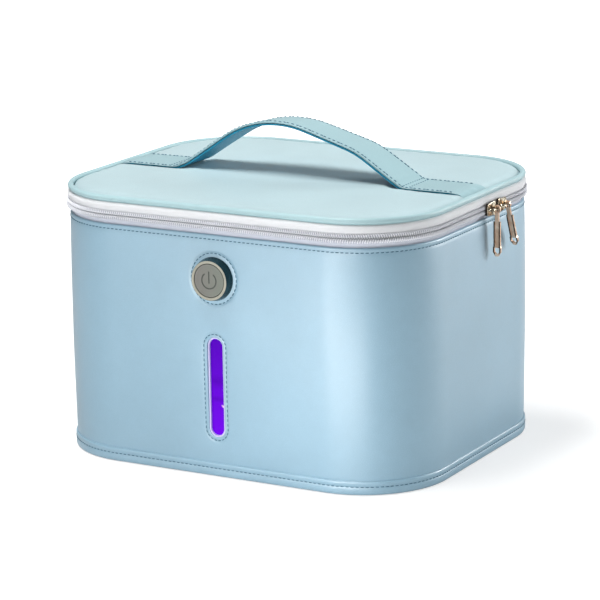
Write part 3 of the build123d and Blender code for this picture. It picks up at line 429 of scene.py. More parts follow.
def border(grid):
    """The rim of a block of rows, walked round once."""
    return np.array([*grid[0, :-1], *grid[:-1, -1], *grid[-1, :0:-1], *grid[:0:-1, 0]])


def cut_leather():
    """The flat pattern of the walls: points (s, z) and faces, with its three cuts."""
    s_front = np.arange(-24, 24.1, 2.0)
    s_rest = np.linspace(24, wall_round - 24, 293)
    s_lines = np.concatenate([s_front, s_rest[1:-1]])
    z_low = np.concatenate([[wall_tuck], np.linspace(8.4, 16, 5)])
    z_window = np.linspace(18, 99, 37)
    z_button = np.linspace(108, 150, 22)
    z_top = [151.6, 152.6, 153.2, 153.6, 154.0, 154.4, 154.8, 155.4, 156.1, 156.4, 156.65, 156.85]
    z_lines = np.concatenate([z_low, z_window, [102, 105], z_button, z_top, [rim]])
    columns, rows = len(s_lines), len(z_lines)
    window_rows = (4.4, 3.6, 3.0, 2.6, 2.3, 2.0, 1.6, 1.2, 0.9, 0.6, 0.3, 0.1, 0)
    button_rows = (9.2, 8.6, 8.1, 7.6, 7.1, 6.5, 5.5, 4.0, 2.0, 0)
    window_cut = (window_middle, slot_run, slot_radius)
    button_cut = (button_z, 0, button_hole)
    inlet_x, _, inlet_z = sum(box_mm("socket_bezel")) / 2
    middle_s = (s_lines + np.append(s_lines[1:], s_lines[0] + wall_round)) / 2
    middle_z = (z_lines[1:] + z_lines[:-1]) / 2
    at_inlet = np.abs(middle_s - (wall_round / 2 - inlet_x)) < 7.2
    kept = ~(at_inlet & (np.abs(middle_z - inlet_z) < 3.4)[:, None])
    cloth = np.stack(np.meshgrid(s_lines, z_lines), -1)
    places = np.arange(rows * columns).reshape(rows, columns)
    points, faces, count = [cloth.reshape(-1, 2)], [], rows * columns
    for half, low, high, cut, rows_out in (
        (12, 18, 99, window_cut, window_rows),
        (20, 110, 148, button_cut, button_rows),
    ):
        left, *_, far = np.flatnonzero(np.abs(s_lines) <= half + 0.01)
        below, *_, above = np.flatnonzero((z_lines >= low - 0.01) & (z_lines <= high + 0.01))
        kept[below:above, left:far] = False
        inside = np.s_[below : above + 1, left : far + 1]
        block, outer = border(cloth[inside]), border(places[inside]).tolist()
        edge, outward = hole_edge(block, *cut)
        step = edge + outward * rows_out[0] - block
        rings = [block + step * share for share in (0.33, 0.67)]
        for ring in rings + [edge + outward * out for out in rows_out]:
            inner = list(range(count, count + len(ring)))
            faces += zip(outer, outer[1:] + outer[:1], inner[1:] + inner[:1], inner)
            points.append(ring)
            count += len(ring)
            outer = inner
    return np.concatenate(points), faces + net(rows, columns, kept)


def toned(colour, share):
    """A colour made darker or paler."""
    return tuple(min(1, c * share) for c in colour[:3]) + (1,)


def make_leather(name, colour, coat=0.6, grain=1.0, shine=0.7):
    """Satin artificial leather: fine pebble grain, faint creases and cloudy colour."""
    made, strand = new_finish(
        name, Specular_IOR_Level=shine, Coat_Weight=coat, Coat_Roughness=0.30, Coat_IOR=1.5
    )
    cloud = strand.noise(60.0, 3.0).clipped(0.3, 0.7)
    blotch = strand.noise(7.0).clipped(0.3, 0.75)
    pebbles = {"Vector": strand.place(), "Scale": 1000 / 0.85}
    pores = strand.node("TexVoronoi", {"feature": "DISTANCE_TO_EDGE"}, pebbles).clipped(0.0, 0.35)
    shade = (cloud * 0.7 + blotch * 0.3).tint(toned(colour, 0.92), toned(colour, 1.04))
    fine = strand.noise(0.5, 3.0)
    crease = strand.noise(4.0, 4.0, 0.6)
    strand.feed(
        Base_Color=(1 - (1 - pores) * 0.35).tint(toned(colour, 0.84), shade),
        Normal=strand.bump(pores * 0.6 + fine * 0.25 + crease * 0.5, 0.06 * grain),
        Roughness=0.31 + blotch * 0.06 + (1 - pores) * 0.10,
    )
    return made


blue_leather = make_leather("blue_leather", linear(142, 177, 196))

pattern, pattern_faces = cut_leather()
pattern_s, pattern_z = pattern.T
outer = on_wall(pattern_s, wall_relief(pattern_s, pattern_z), pattern_z)
points, faces = thicken(outer, on_wall(pattern_s, -leather_thick, pattern_z), pattern_faces)
walls = build("leather_walls", points, faces, blue_leather, "case")
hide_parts("body_leather")


# ---------- wall stitching
# Polyester thread, 0.6 mm thick, sewn right through: a row under the rim, a ring
# round the button and a line round the window. Each stitch sinks at both ends.
def make_thread(name, colour):
    """Twisted thread: fine slanting strands, with painted shade in the valleys between them."""
    made, strand = new_finish(name, Specular_IOR_Level=0.3)
    twist = strand.wave(strand.place(), 1500, "DIAGONAL", 1.0)
    strand.feed(
        Base_Color=twist.tint(toned(colour, 0.6), colour),
        Normal=strand.bump(twist, 0.08),
        Roughness=0.55 + twist * 0.15,
    )
    return made


# The thread is coloured darker than the leather it matches, which stands in for the shade in the
# stitch holes: painted shade.
blue_thread = make_thread("blue_thread", linear(84, 126, 148))


def tube(rings, sides):
    """Faces of a closed tube: a net with a cap at each end."""
    last = (rings - 1) * sides
    return net(rings, sides) + [tuple(range(sides))[::-1], tuple(range(last, last + sides))]


def sew(name, centres, along, away, finish, body, length=2.3, thick=0.62):
    """A row of stitches: each runs along its own direction and stands away from the cloth."""
    reach = np.array([-0.5, -0.46, -0.3, 0.0, 0.3, 0.46, 0.5]) * length
    girth = np.array([0.04, 0.32, 0.46, 0.5, 0.46, 0.32, 0.04]) * thick
    lift = np.array([-0.42, -0.18, 0.12, 0.24, 0.12, -0.18, -0.42]) * thick
    around = np.arange(6)[:, None] * math.pi / 3
    along = unit(along)[:, None]
    across = unit(np.cross(along, away[:, None]))
    up = np.cross(across, along)
    spine = centres[:, None] + along * reach[:, None] + up * lift[:, None]
    turn = np.cos(around) * across + np.sin(around) * up
    points = spine[:, :, None] + turn[:, None] * girth[:, None, None]
    step = len(reach) * len(around)
    one = tube(len(reach), len(around))
    faces = [tuple(i + step * n for i in face) for n in range(len(centres)) for face in one]
    piece = build(name, points, faces, finish, body)


def sew_round(name, s, z, ds=1, dz=0, out=None, finish=blue_thread, body="case", side=1, **size):
    """Stitches round the walls at (s, z), running along (ds, dz); side -1 is the inside."""
    away = side * facing(s)
    level = np.stack([-away[:, 1], away[:, 0], 0 * s], -1)
    along = level * np.reshape(ds, (-1, 1)) + np.array([0, 0, 1.0]) * np.reshape(dz, (-1, 1))
    place = on_wall(s, wall_relief(s, z) if out is None else out, z)
    sew(name, place, along, away, finish, body, **size)


stitch_pitch = 3.1
top_count = int(wall_round / stitch_pitch)
top_s = np.arange(top_count) * wall_round / top_count
sew_round("rim_stitches", top_s, rim_seam_z, dz=0.06)
ring = np.arange(34) * 2 * math.pi / 34
ring_s, ring_z = button_seam * np.cos(ring), button_z + button_seam * np.sin(ring)
sew_round("button_stitches", ring_s, ring_z, -np.sin(ring), np.cos(ring), length=2.2)
seam_radius = slot_radius + window_seam
run = np.arange(-slot_run, slot_run + 0.1, 2 * slot_run / 17)
still = 0 * run
arc = np.arange(1, 9) * math.pi / 9
arc_x, arc_z = seam_radius * np.cos(arc), slot_run + seam_radius * np.sin(arc)
sew_round(
    "window_stitches",
    np.concatenate([still + seam_radius, arc_x, still - seam_radius, -arc_x]),
    window_middle + np.concatenate([run, arc_z, -run, -arc_z]),
    np.concatenate([still, -np.sin(arc), still, np.sin(arc)]),
    np.concatenate([still + 1, np.cos(arc), still - 1, -np.cos(arc)]),
    length=2.1,
)
join_z = np.arange(12.0, 151.0, stitch_pitch)
for side, name in ((-1, "left"), (1, "right")):
    join_s = np.full(len(join_z), wall_round / 2 + side * 2.4)
    sew_round(f"join_{name}_stitches", join_s, join_z, ds=0, dz=1)


# ---------- bottom binding
# A folded strip of the same leather, sewn round the foot of the walls. It stands
# 1 mm proud, its upper edge is turned in, and one row of stitches holds it.
hoop_steps = 620


def hoop(name, profile, finish, body, run=None):
    """A strip led round the walls: profile is its section as (out, z) points."""
    whole = run is None
    run = np.arange(0, wall_round, wall_round / hoop_steps) if whole else run
    points = np.stack([on_wall(run, out, z) for out, z in profile])
    rows, columns = len(profile), len(run)
    length = np.cumsum([0] + [math.dist(a, b) for a, b in zip(profile, profile[1:] + profile[:1])])
    ahead = np.append(run, run[0] + wall_round)
    faces, places = [], []
    for r, c in np.ndindex(rows, columns if whole else columns - 1):
        n, up = (c + 1) % columns, (r + 1) % rows
        faces.append((r * columns + c, r * columns + n, up * columns + n, up * columns + c))
        here, there, low, high = *ahead[c : c + 2], *length[r : r + 2]
        places += [(here, low), (there, low), (there, high), (here, high)]
    if not whole:
        for c, ends in ((0, range(rows)), (columns - 1, range(rows - 1, -1, -1))):
            faces.append(tuple(r * columns + c for r in ends))
            places += [(ahead[c], length[r]) for r in ends]
    return build(name, points, faces, finish, body, marks=places)


binding_profile = [
    (-3.0, 0.35), (-1.5, 0.12), (-0.2, 0.1), (0.5, 0.35), (0.85, 0.9), (1.0, 1.8),
    (1.02, 3.0), (0.98, 4.2), (0.86, 4.9), (0.66, 5.4), (0.86, 5.9), (0.98, 6.6),
    (1.0, 7.6), (0.92, 8.4), (0.68, 8.9), (0.3, 9.1), (-0.2, 9.0), (-0.6, 8.4),
    (-0.8, 6.0), (-0.9, 3.0), (-1.4, 1.4), (-3.0, 1.2),
]
binding = hoop("foot_binding", binding_profile, blue_leather, "case")
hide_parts("bottom_binding")
foot_s = (np.arange(top_count) + 0.5) * wall_round / top_count
foot_seam_z = 5.4
sew_round("foot_stitches", foot_s, foot_seam_z, out=0.72, length=2.2, thick=0.6)


# ---------- zip tapes
# Woven polyester tape, lavender grey, one sewn to the walls and one to the lid.
# They end at the hinge strip, 88 mm each side of the middle of the back.
def make_tape(name, colour):
    """Herringbone woven tape, finer than a millimetre."""
    made, strand = new_finish(name, Specular_IOR_Level=0.3, Sheen_Weight=0.3, Sheen_Roughness=0.4)
    cloth = strand.node("UVMap", {"uv_map": "cloth"}, {})
    slanted = strand.node("Mapping", {}, {"Vector": cloth, "Rotation": (0, 0, math.radians(35))})
    ribs = strand.wave(slanted, 500 / 0.65, "X", 0.3)
    picks = strand.wave(cloth, 500 / 0.5, "Y", 0.2)
    weave = ribs * 0.6 + picks * 0.4
    lint = strand.noise(3.0)
    strand.feed(
        Base_Color=(weave * 0.75 + lint * 0.25).tint(toned(colour, 0.80), colour),
        Normal=strand.bump(weave, 0.10),
        Roughness=0.6 + weave * 0.2,
    )
    return made


lavender_tape = make_tape("lavender_tape", linear(234, 236, 239))
shaded_tape = make_tape("shaded_tape", linear(208, 212, 224))
hinge_half = 88.1
zip_run = np.linspace(-(wall_round / 2 - hinge_half), wall_round / 2 - hinge_half, 501)
lower_tape_profile = [
    (-1.5, 151.6), (-1.6, 156.6), (-1.7, 157.4), (-1.2, 158.2), (-0.2, 159.1), (0.5, 159.9),
    (0.5, 160.7), (0.3, 161.4), (0.1, 162.5), (-0.5, 162.5), (-0.6, 160.8), (-0.9, 159.4),
    (-1.9, 158.2), (-2.2, 157.2), (-2.2, 151.6),
]
lower_tape = hoop("lower_tape", lower_tape_profile, shaded_tape, "case", zip_run)
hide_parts("lower_zip_tape")
upper_tape_profile = [
    (0.1, 163.9), (0.3, 165.2), (0.5, 166.2), (0.85, 167.0), (1.15, 168.2), (1.15, 169.5),
    (0.9, 170.5), (0.2, 171.2), (-0.7, 171.5), (-1.6, 171.4), (-1.9, 170.8), (-1.0, 169.9),
    (-0.3, 168.6), (-0.3, 166.0), (-0.5, 163.9),
]
upper_tape = hoop("upper_tape", upper_tape_profile, lavender_tape, "lid", zip_run)
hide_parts("upper_zip_tape")


# ---------- zip coils
# Each row is one smooth nylon filament, 0.8 mm thick, wound in a flat coil, 1.5 mm a
# turn, and sewn to the face of its tape. The heads of the two rows fit between each
# other.
lavender_nylon, strand = new_finish("lavender_nylon", Specular_IOR_Level=0.5)
drawn = strand.noise(0.9)
nylon_colour = linear(234, 236, 242)
strand.feed(
    Base_Color=drawn.tint(toned(nylon_colour, 0.85), nylon_colour),
    Normal=strand.bump(drawn, 0.04),
    Roughness=0.32 + drawn * 0.12,
)
# The core cords are real filler cords, but their darker grey stands in for the shade between the
# coil's turns: partly painted shade.
shaded_core_cord = make_tape("shaded_core_cord", linear(196, 198, 210))
turn_pitch = 1.5
filament = 0.40


def wind(name, head_z, heel_z, start, body, node):
    """One coil row: out over the face from heel to head, and back beneath."""
    across = head_z - heel_z
    shape = [
        (0.02, 0.85), (0.14, 1.35), (0.40, 1.62), (0.72, 1.62),
        (0.96, 1.25), (0.96, 0.80), (0.60, 0.50), (0.20, 0.50),
    ]
    count = int((zip_run[-1] - zip_run[0]) / turn_pitch) - 1
    lead = np.array([0.0, 0.04, 0.14, 0.30, 0.44, 0.56, 0.72, 0.88])
    s = zip_run[0] + start + (np.arange(count)[:, None] + lead).ravel() * turn_pitch
    reach, out = np.tile(np.array(shape).T, count)
    path = on_wall(s, out, heel_z + across * reach)
    along = unit(np.gradient(path, axis=0))
    level = unit(np.cross(along, facing(s)))
    around = np.arange(6)[:, None] * math.pi / 3
    turn = np.cos(around) * level[:, None] + np.sin(around) * np.cross(level, along)[:, None]
    coil = tube(len(path), len(around))
    piece = build(name, path[:, None] + filament * turn, coil, lavender_nylon, body)
    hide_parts(node)
    low, high = sorted((heel_z + 0.3 * across, heel_z + 0.75 * across))
    core = [(0.55, low), (1.15, low + 0.1), (1.15, high - 0.1), (0.55, high)]
    hoop(name + "_core", core, shaded_core_cord, body, zip_run)


wind("lower_coil", 162.85, 160.4, 0.3, "case", "lower_zip_coil")
wind("upper_coil", 163.55, 166.0, 0.3 + turn_pitch / 2, "lid", "upper_zip_coil")


# ---------- hinge strip
# One strip of leather, 176 mm long, sewn to the back wall below and to the lid
# above. It is the lid's only hinge.
hinge_run = np.linspace(wall_round / 2 - hinge_half - 0.6, wall_round / 2 + hinge_half + 0.6, 121)
strip_outer = [(-1.0, 156.9), (-0.2, 157.5), (0.5, 158.3), (0.85, 159.2)]
for z in np.arange(160, 166.5, 0.4):
    strip_outer.append((0.95 + 0.15 * math.sin((z - 160) / 6.4 * math.pi), z))
strip_outer += [(0.95, 167.2), (0.95, 168.4), (0.8, 169.6), (0.45, 170.6), (-0.3, 171.2)]
strip_inner = [(out - 0.9, z) for out, z in strip_outer[::-1]]
hinge_profile = [(-1.45, 151.6)] + strip_outer + strip_inner + [(-2.2, 156.5), (-2.2, 151.6)]
hinge = hoop("hinge_strip", hinge_profile, blue_leather, None, hinge_run)
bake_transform(hinge)
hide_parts("hinge_strip_lower", "hinge_strip_upper")


# ---------- lid
# A board panel padded with 3 mm foam and covered in the same leather, drawn down
# over its edge and sewn in with the piping.
strap_low, strap_high = box_mm("handle_under_layer")
strap_half = strap_high[1]
lid_edge = 2.6
pad_edge_z, pad_rise, foot_z = 172.3, 3.3, 175.5
lid_crown = 1.5
foot_from, foot_to = 80.0, 128.5


def edge_distance(x, y):
    """How far in from the outer wall face a point over the lid is."""
    dx, dy = np.abs(x) - straight_x, np.abs(y) - straight_y
    outside = np.hypot(np.maximum(dx, 0), np.maximum(dy, 0)) + np.minimum(np.maximum(dx, dy), 0)
    return wall_corner - outside


def eased(share):
    """A share held between 0 and 1 that starts and stops gently."""
    share = np.clip(share, 0, 1)
    return share * share * (3 - 2 * share)


def foot_press(x, y):
    """1 under a foot of the strap, falling to 0 a few millimetres outside it."""
    past_side = np.clip((strap_half + 5.0 - np.abs(y)) / 5.0, 0, 1)
    past_start = np.clip((np.abs(x) - foot_from + 9.0) / 9.0, 0, 1)
    past_end = np.clip((foot_to + 5.0 - np.abs(x)) / 5.0, 0, 1)
    return eased(past_side * past_start * past_end)


def lid_top(x, y):
    """The height of the padded top over the point (x, y)."""
    inset = edge_distance(x, y)
    rise = np.clip((inset - 3.2) / 7.0, 0, 1)
    z = pad_edge_z + pad_rise * np.sqrt(1 - (1 - rise) ** 2)
    z = z + lid_crown * np.clip((inset - 8) / 50, 0, 1) ** 0.6
    around = np.arctan2(y, x)
    pucker = np.sin(around * 61 + 2 * np.sin(around * 9)) * np.sin(around * 13 + 1.0)
    z = z - dip(inset - 7.0, 0.14, 3.5) * pucker
    broad = np.sin(x / 31 + 0.5) * np.sin(y / 27 + 1.2) + 0.6 * np.sin(x / 17 - y / 23 + 2.2)
    z = z + 0.25 * broad * np.clip((inset - 9) / 20, 0, 1)
    pull_x, pull_y = np.abs(x) - 121, np.abs(y) - strap_half
    z = z + dip(pull_y - 0.45 * pull_x, 0.35, 1.6) * dip(pull_x - 3, 1, 4.5)
    press = foot_press(x, y)
    return z * (1 - press) + np.minimum(z, foot_z) * press


panel_steps = 432
shrink_from, shrink_over = 30.0, 70.0  # rings farther in than 30 mm shrink to the middle


def panel(name, insets, top_of, under_of, finish, body):
    """A flat sheet in the outline of the case, with a height for each of its faces."""
    run = np.arange(panel_steps) * wall_round / panel_steps
    rings = []
    for inset in insets:
        ring = on_wall(run, -min(inset, shrink_from), 0.0)[:, :2]
        rings.append(ring * (1 - max(inset - shrink_from, 0) / shrink_over))
    x, y = np.concatenate(rings).T
    rows, columns = len(rings), len(run)
    middle = tuple(range((rows - 1) * columns, rows * columns))
    upper, under = (np.column_stack([x, y, height(x, y)]) for height in (top_of, under_of))
    points, faces = thicken(upper, under, net(rows, columns) + [middle])
    return build(name, points, faces, finish, body)


def level_at(z):
    """A face that lies flat at the height z."""
    return lambda x, y: z + 0 * x


pad_under_z = 173.8
lid_insets = [*np.arange(lid_edge, 12, 0.6), *np.arange(12, 30, 1.2), *np.linspace(30, 99, 52)]
# The lid's leather is the walls' leather in a paler colour, which stands in for the light and sheen
# on the top: painted light.
lid_leather = make_leather("lid_leather", linear(182, 205, 210), coat=0.05, shine=0.25)
lid_cover = panel(
    "lid_cover",
    lid_insets,
    lid_top,
    lambda x, y: np.minimum(lid_top(x, y) - leather_thick, pad_under_z),
    lid_leather,
    "lid",
)
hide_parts("lid_leather", "lid_pad_foam")

# The piping is a cord inside a folded strip of leather, sewn in all round the lid.
piping_radius = 1.9
piping_middle = box_mm("lid_piping")[1][2] - piping_radius
piping_profile = [
    (-0.9 + piping_radius * math.cos(a), piping_middle + piping_radius * math.sin(a))
    for a in np.radians(np.arange(-70, 250, 20))
] + [(-1.9, 170.9), (-0.6, 170.9)]
# The piping takes the lid's paler colour rather than the walls': painted light.
piping_leather = make_leather("piping_leather", linear(168, 198, 203), coat=0.1, shine=0.3)
piping = hoop("lid_piping_cord", piping_profile, piping_leather, "lid")
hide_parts("lid_piping")


# ---------- carrying strap
# Two layers of leather sewn together along both edges and to the lid at each
# foot. The top layer is a little wider than the under one.
strap_x = [-130, -79.3, -17.7, 51.2, 82.4, 130]
strap_z = [0, 0, 41.6, 20.3, 0, 0]
strap_nodes = np.column_stack([strap_x, strap_z])
strap_bends = [25.0, 70.0, 60.0, 25.0]
strap_floor = strap_low[2] + 1.5
strap_seam = 1.6


def arched_line():
    """The strap's middle line: straight runs with a round bend at each turn."""
    line = [strap_nodes[0]]
    corners = zip(strap_nodes, strap_nodes[1:], strap_nodes[2:], strap_bends)
    for before, here, after, radius in corners:
        one, two = unit(before - here), unit(after - here)
        half = math.acos(np.clip(one @ two, -1, 1)) / 2
        middle = here + unit(one + two) * radius / math.sin(half)
        start = here + one * radius / math.tan(half) - middle
        end = here + two * radius / math.tan(half) - middle
        sweep_angle = math.acos(np.clip(start @ end / radius**2, -1, 1))
        share = np.arange(17)[:, None] / 16
        bend_points = np.sin((1 - share) * sweep_angle) * start + np.sin(share * sweep_angle) * end
        line += [*(middle + bend_points / math.sin(sweep_angle))]
    line = np.array(line + [strap_nodes[-1]])
    gaps = np.append(0, np.cumsum(np.linalg.norm(np.diff(line, axis=0), axis=1)))
    even = np.linspace(0, gaps[-1], 241)
    return np.stack([np.interp(even, gaps, part) for part in line.T], -1), even


strap_line, strap_reach = arched_line()
strap_along = unit(np.gradient(strap_line, axis=0))
strap_up = np.stack([-strap_along[:, 1], strap_along[:, 0]], -1)
strap_pressed = eased((np.abs(strap_line[:, 0]) - 78.0) / 9.0)
strap_body = 1 - np.clip((np.abs(strap_line[:, 0]) - 117.0) / 12.0, 0, 1) ** 1.5


def strap_point(index, y, lift):
    """Points on the strap: which steps along it, how far across, how far above its middle."""
    flat = strap_line[index] + strap_up[index] * lift
    x, rise = flat.T
    sag = np.clip(rise / 36.0, 0, 1) ** 2 * (1.4 + 0.07 * y)
    arched = strap_floor + rise - sag
    sewn_down = lid_top(x, y) + (0.88 + 0.5 * lift) * strap_body[index] - 0.1
    press = strap_pressed[index]
    return np.stack([x, y + 0 * x, arched * (1 - press) + sewn_down * press], -1)


# The strap's top layer is a darker copy of the lid's leather, and its under layer a much darker,
# deeper teal copy: painted shade where less light reaches them.
strap_leather = make_leather("strap_leather", linear(156, 187, 193), coat=0.1, grain=0.8, shine=0.3)
shaded_under_leather = make_leather("shaded_under_leather", linear(48, 138, 168), coat=0.0, grain=0.8, shine=0.1)


def strap_layer(name, low, high, half, finish, node):
    """One leather layer with rounded edges, pressed in along its stitch lines."""
    middle = (low + high) / 2
    section = []
    for y in np.linspace(-half + 0.45, half - 0.45, 41):
        groove = dip(abs(y) - (half - strap_seam), 0.22, 0.8)
        crown = 0.25 * (1 - (y / half) ** 2)
        section.append((y, high + groove + crown - 0.12 * (abs(y) > half - 0.6)))
    section += [(half - 0.1, middle + 0.42), (half, middle), (half - 0.1, middle - 0.42)]
    section += [(y, low) for y in np.linspace(half - 0.45, -half + 0.45, 21)]
    section += [(-half + 0.1, middle - 0.42), (-half, middle), (-half + 0.1, middle + 0.42)]
    steps = np.arange(len(strap_line))
    points = np.stack([strap_point(steps, y, lift) for y, lift in section], 1)
    layer = build(name, points, tube(len(steps), len(section)), finish, "lid")
    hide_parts(node)


under_half = strap_half - 0.3
strap_layer("strap_top_layer", 0.14, 1.45, strap_half, strap_leather, "handle_top_layer")
strap_layer("strap_under_layer", -1.45, -0.14, under_half, shaded_under_leather, "handle_under_layer")


def sew_strap(name, steps, y, along=None):
    """Stitches on the strap's top layer, along its run unless told otherwise."""
    run, away = (np.insert(way[steps], 1, 0, axis=1) for way in (strap_along, strap_up))
    run = run if along is None else run * 0 + along
    sew(name, strap_point(steps, y, 1.36), run, away, blue_thread, "lid", length=2.2, thick=0.7)


whole_steps = np.searchsorted(strap_reach, np.arange(10.0, strap_reach[-1] - 10.0, stitch_pitch))
for side, name in ((-1, "front"), (1, "rear")):
    sew_strap(f"strap_{name}_stitches", whole_steps, side * (strap_half - strap_seam))
cross_y = np.arange(-12.4, 12.5, stitch_pitch)
for side, name in ((-1, "left"), (1, "right")):
    for line, offset in (("inner", 84.0), ("outer", 88.0)):
        step = int(np.argmin(np.abs(strap_line[:, 0] - side * offset)))
        steps = np.full(len(cross_y), step)
        sew_strap(f"foot_{name}_{line}_stitches", steps, cross_y, along=(0, 1, 0))


# ---------- sole and lining
# The sole is a flat sheet of the same leather. Inside, a silver metallised cloth
# lines the walls, the floor and the lid over thin foam, and a woven tape binds the
# rim where the wall lining ends.
def wrinkle(x, y):
    """Soft creases of thin cloth over foam, from 0 to 1."""
    one = np.sin(x / 13 + 2.1 * np.sin(y / 31)) * np.sin(y / 17 + 1.7 * np.sin(x / 37))
    two = np.sin((x + 0.6 * y) / 7.3 + 1.2 * np.sin(y / 15))
    return 0.5 + 0.35 * one + 0.15 * two


# The cloth's plain weave shows through its satin metal film, and it is creased. The
# low places of the creases and the fold lines are painted darker: painted shade.
silver_cloth, strand = new_finish("silver_cloth", Specular_IOR_Level=0.5)
threads = {"Vector": strand.place(), "Scale": 1000 / 0.7}
weave = strand.node("TexVoronoi", {"feature": "F1"}, threads)
crease = strand.noise(16.0, 4.0, 0.6)
fold_and_shade = abs(strand.noise(34.0, 2.0, 0.4) - 0.5).clipped(0.0, 0.11)
silver = linear(214, 217, 224)
strand.feed(
    Base_Color=(crease * 0.85 + fold_and_shade * 0.15).tint(toned(silver, 0.78), silver),
    Metallic=0.45 + crease * 0.2,
    Roughness=0.34 + weave * 0.10 + crease * 0.12,
    Normal=strand.bump(weave * 0.12 + crease * 0.8 + fold_and_shade * 0.25, 0.5),
)

lining_out = -6.6
lining_back = -6.02
lining_columns = 360
lining_run = np.arange(lining_columns) * wall_round / lining_columns
lining_z = np.concatenate([np.arange(8.6, 164, 3.2), [165.3]])
lining_s, lining_height = np.stack(np.meshgrid(lining_run, lining_z), -1).reshape(-1, 2).T
middle_s = short_way(lining_run + wall_round / lining_columns / 2)
middle_z = (lining_z[1:] + lining_z[:-1])[:, None] / 2
socket_x, _, socket_z = sum(box_mm("socket_box")) / 2
from_socket = np.abs(np.mod(middle_s, wall_round) - (wall_round / 2 - socket_x))
control_half = box_mm("control_backplate")[1][0] - 3
under_control = (np.abs(middle_s) < control_half) & (np.abs(middle_z - button_z) < 19)
under_window = (np.abs(middle_s) < 5.5) & (np.abs(middle_z - window_middle) < slot_run)
under_socket = (from_socket < 9) & (np.abs(middle_z - socket_z) < 4.5)
kept = ~(under_control | under_window | under_socket)
at_join = np.clip(np.minimum(lining_s, wall_round - lining_s) / 12, 0, 1)
face_out = lining_out + 0.45 * wrinkle(lining_s, lining_height) * at_join
points, faces = thicken(
    on_wall(lining_s, face_out, lining_height),
    on_wall(lining_s, lining_back, lining_height),
    net(len(lining_z), lining_columns, kept),
)
wall_lining = build("wall_lining", points, faces, silver_cloth, "case")
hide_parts("body_liner")

floor_z = box_mm("floor_liner")[1][2]
floor_lining = panel(
    "floor_lining",
    [6.3, 6.8, 7.6, 9, 11, 14, 17, 20, 23, 26, 29, *np.linspace(30, 99, 46)],
    lambda x, y: floor_z - 0.30 * wrinkle(x, y),
    level_at(floor_z - 0.55),
    silver_cloth,
    "case",
)
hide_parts("floor_liner")

lining_low = box_mm("lid_liner")[0][2]
lining_top = box_mm("lid_lining_foam")[1][2]


def lid_lining_under(x, y):
    """The lining's lower face, turned up round the edge of the lid."""
    turned_up = rounded_off((2.6 - edge_distance(x, y)) / 2.3)
    return lining_low + 0.05 + 0.30 * wrinkle(x, y) + 2.1 * turned_up


lid_lining = panel(
    "lid_lining",
    [0.3, 0.5, 0.9, 1.5, 2.2, 3.2, 5, 8, 11, 14, 17, 20, 23, 26, 29, *np.linspace(30, 99, 46)],
    level_at(lining_top - 0.05),
    lid_lining_under,
    silver_cloth,
    "lid",
)
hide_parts("lid_liner", "lid_lining_foam")


def sole_under(x, y):
    """The sole's lower face, drawn up a little where it goes under the binding."""
    return 0.06 * wrinkle(x, y) - dip(edge_distance(x, y) - 2.0, 0.5, 1.6)


sole = panel(
    "sole",
    [1.2, 2.0, 2.8, 3.6, 4.6, 6, 9, 13, 18, 24, 29, *np.linspace(30, 99, 30)],
    level_at(1.4),
    sole_under,
    blue_leather,
    "case",
)
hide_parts("base_leather")

grey_tape = make_tape("grey_tape", linear(186, 190, 202))
top = box_mm("rim_binding")[1][2]
inner_profile = [
    (-6.65, 152.4), (-7.15, 152.3), (-7.25, 153.2), (-7.02, 154.0), (-7.2, 155.0), (-7.22, 158.0),
    (-7.2, 162.0), (-7.15, top - 0.9), (-6.6, top - 0.25), (-5.6, top), (-4.4, top),
    (-3.4, top - 0.25), (-2.85, top - 0.9), (-2.8, 162.5), (-2.8, 158.4), (-2.98, 158.4),
    (-3.0, top - 1.0), (-6.62, top - 1.0),
]
inner_binding = hoop("inner_rim_binding", inner_profile, grey_tape, "case")
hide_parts("rim_binding")
grey_thread = make_thread("grey_thread", linear(120, 126, 140))
inner_count = 250
inner_s = np.arange(inner_count) * wall_round / inner_count
inside = {"out": -7.02, "side": -1, "finish": grey_thread}
sew_round("inner_rim_stitches", inner_s, rim_seam_z, **inside, length=2.2, thick=0.5)
strip_s = np.arange(hinge_run[0] + 2, hinge_run[-1] - 2, stitch_pitch)
strip_seam_z = 169.3
sew_round("hinge_stitches", strip_s, strip_seam_z, out=0.82, body="lid", length=2.2, thick=0.55)


# ---------- boards and foam
# Grey board stiffens the base, walls and lid. White foam softens them.
def dress(finish, *nodes):
    """Gives a finish to pieces that keep the shape they were drawn with."""
    for node in nodes:
        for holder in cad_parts[node].material_slots:
            holder.material = finish


def make_solid(name, colour, gloss, grain, depth, mottle=0.12):
    """A solid material: cloudy colour, scuffs that dull it, and a fine grain."""
    made, strand = new_finish(name)
    cloud = strand.noise(20.0, 3.0).clipped(0.3, 0.7)
    skin = strand.noise(grain, 3.0)
    scuff = strand.noise(2.5, 6.0, 0.7).clipped(0.60, 0.80)
    strand.feed(
        Base_Color=(cloud * 0.7 + skin * 0.3).tint(toned(colour, 1 - mottle), colour),
        Roughness=gloss + cloud * 0.04 + scuff * 0.14,
        Normal=strand.bump(skin + scuff * 0.2, depth),
    )
    return made


grey_board = make_solid("grey_board", linear(158, 153, 144), 0.85, 1.2, 0.15)
dress(grey_board, "base_board", "body_board", "lid_board")
white_foam = make_solid("white_foam", linear(232, 231, 226), 0.9, 0.8, 0.4)
dress(white_foam, "base_foam", "body_foam")


# ---------- power button
# A moulded barrel through the wall holds a satin cap on a spring switch. Its face
# is champagne, and its flank is painted dark teal and made more metallic: the teal
# is a painted reflection of the blue leather, and the dark is painted shade. The
# standby sign is sunk in the cap.
button_shine = 0.34


def new_button_part(name):
    """A finish for the button: where it is across, how deep, and how far off its axis."""
    made, strand = new_finish(name, Specular_IOR_Level=0.5)
    across, ahead, up = strand.axes()
    rise = up - button_z / 1000
    return made, strand, across, ahead, (across * across + rise * rise) ** 0.5


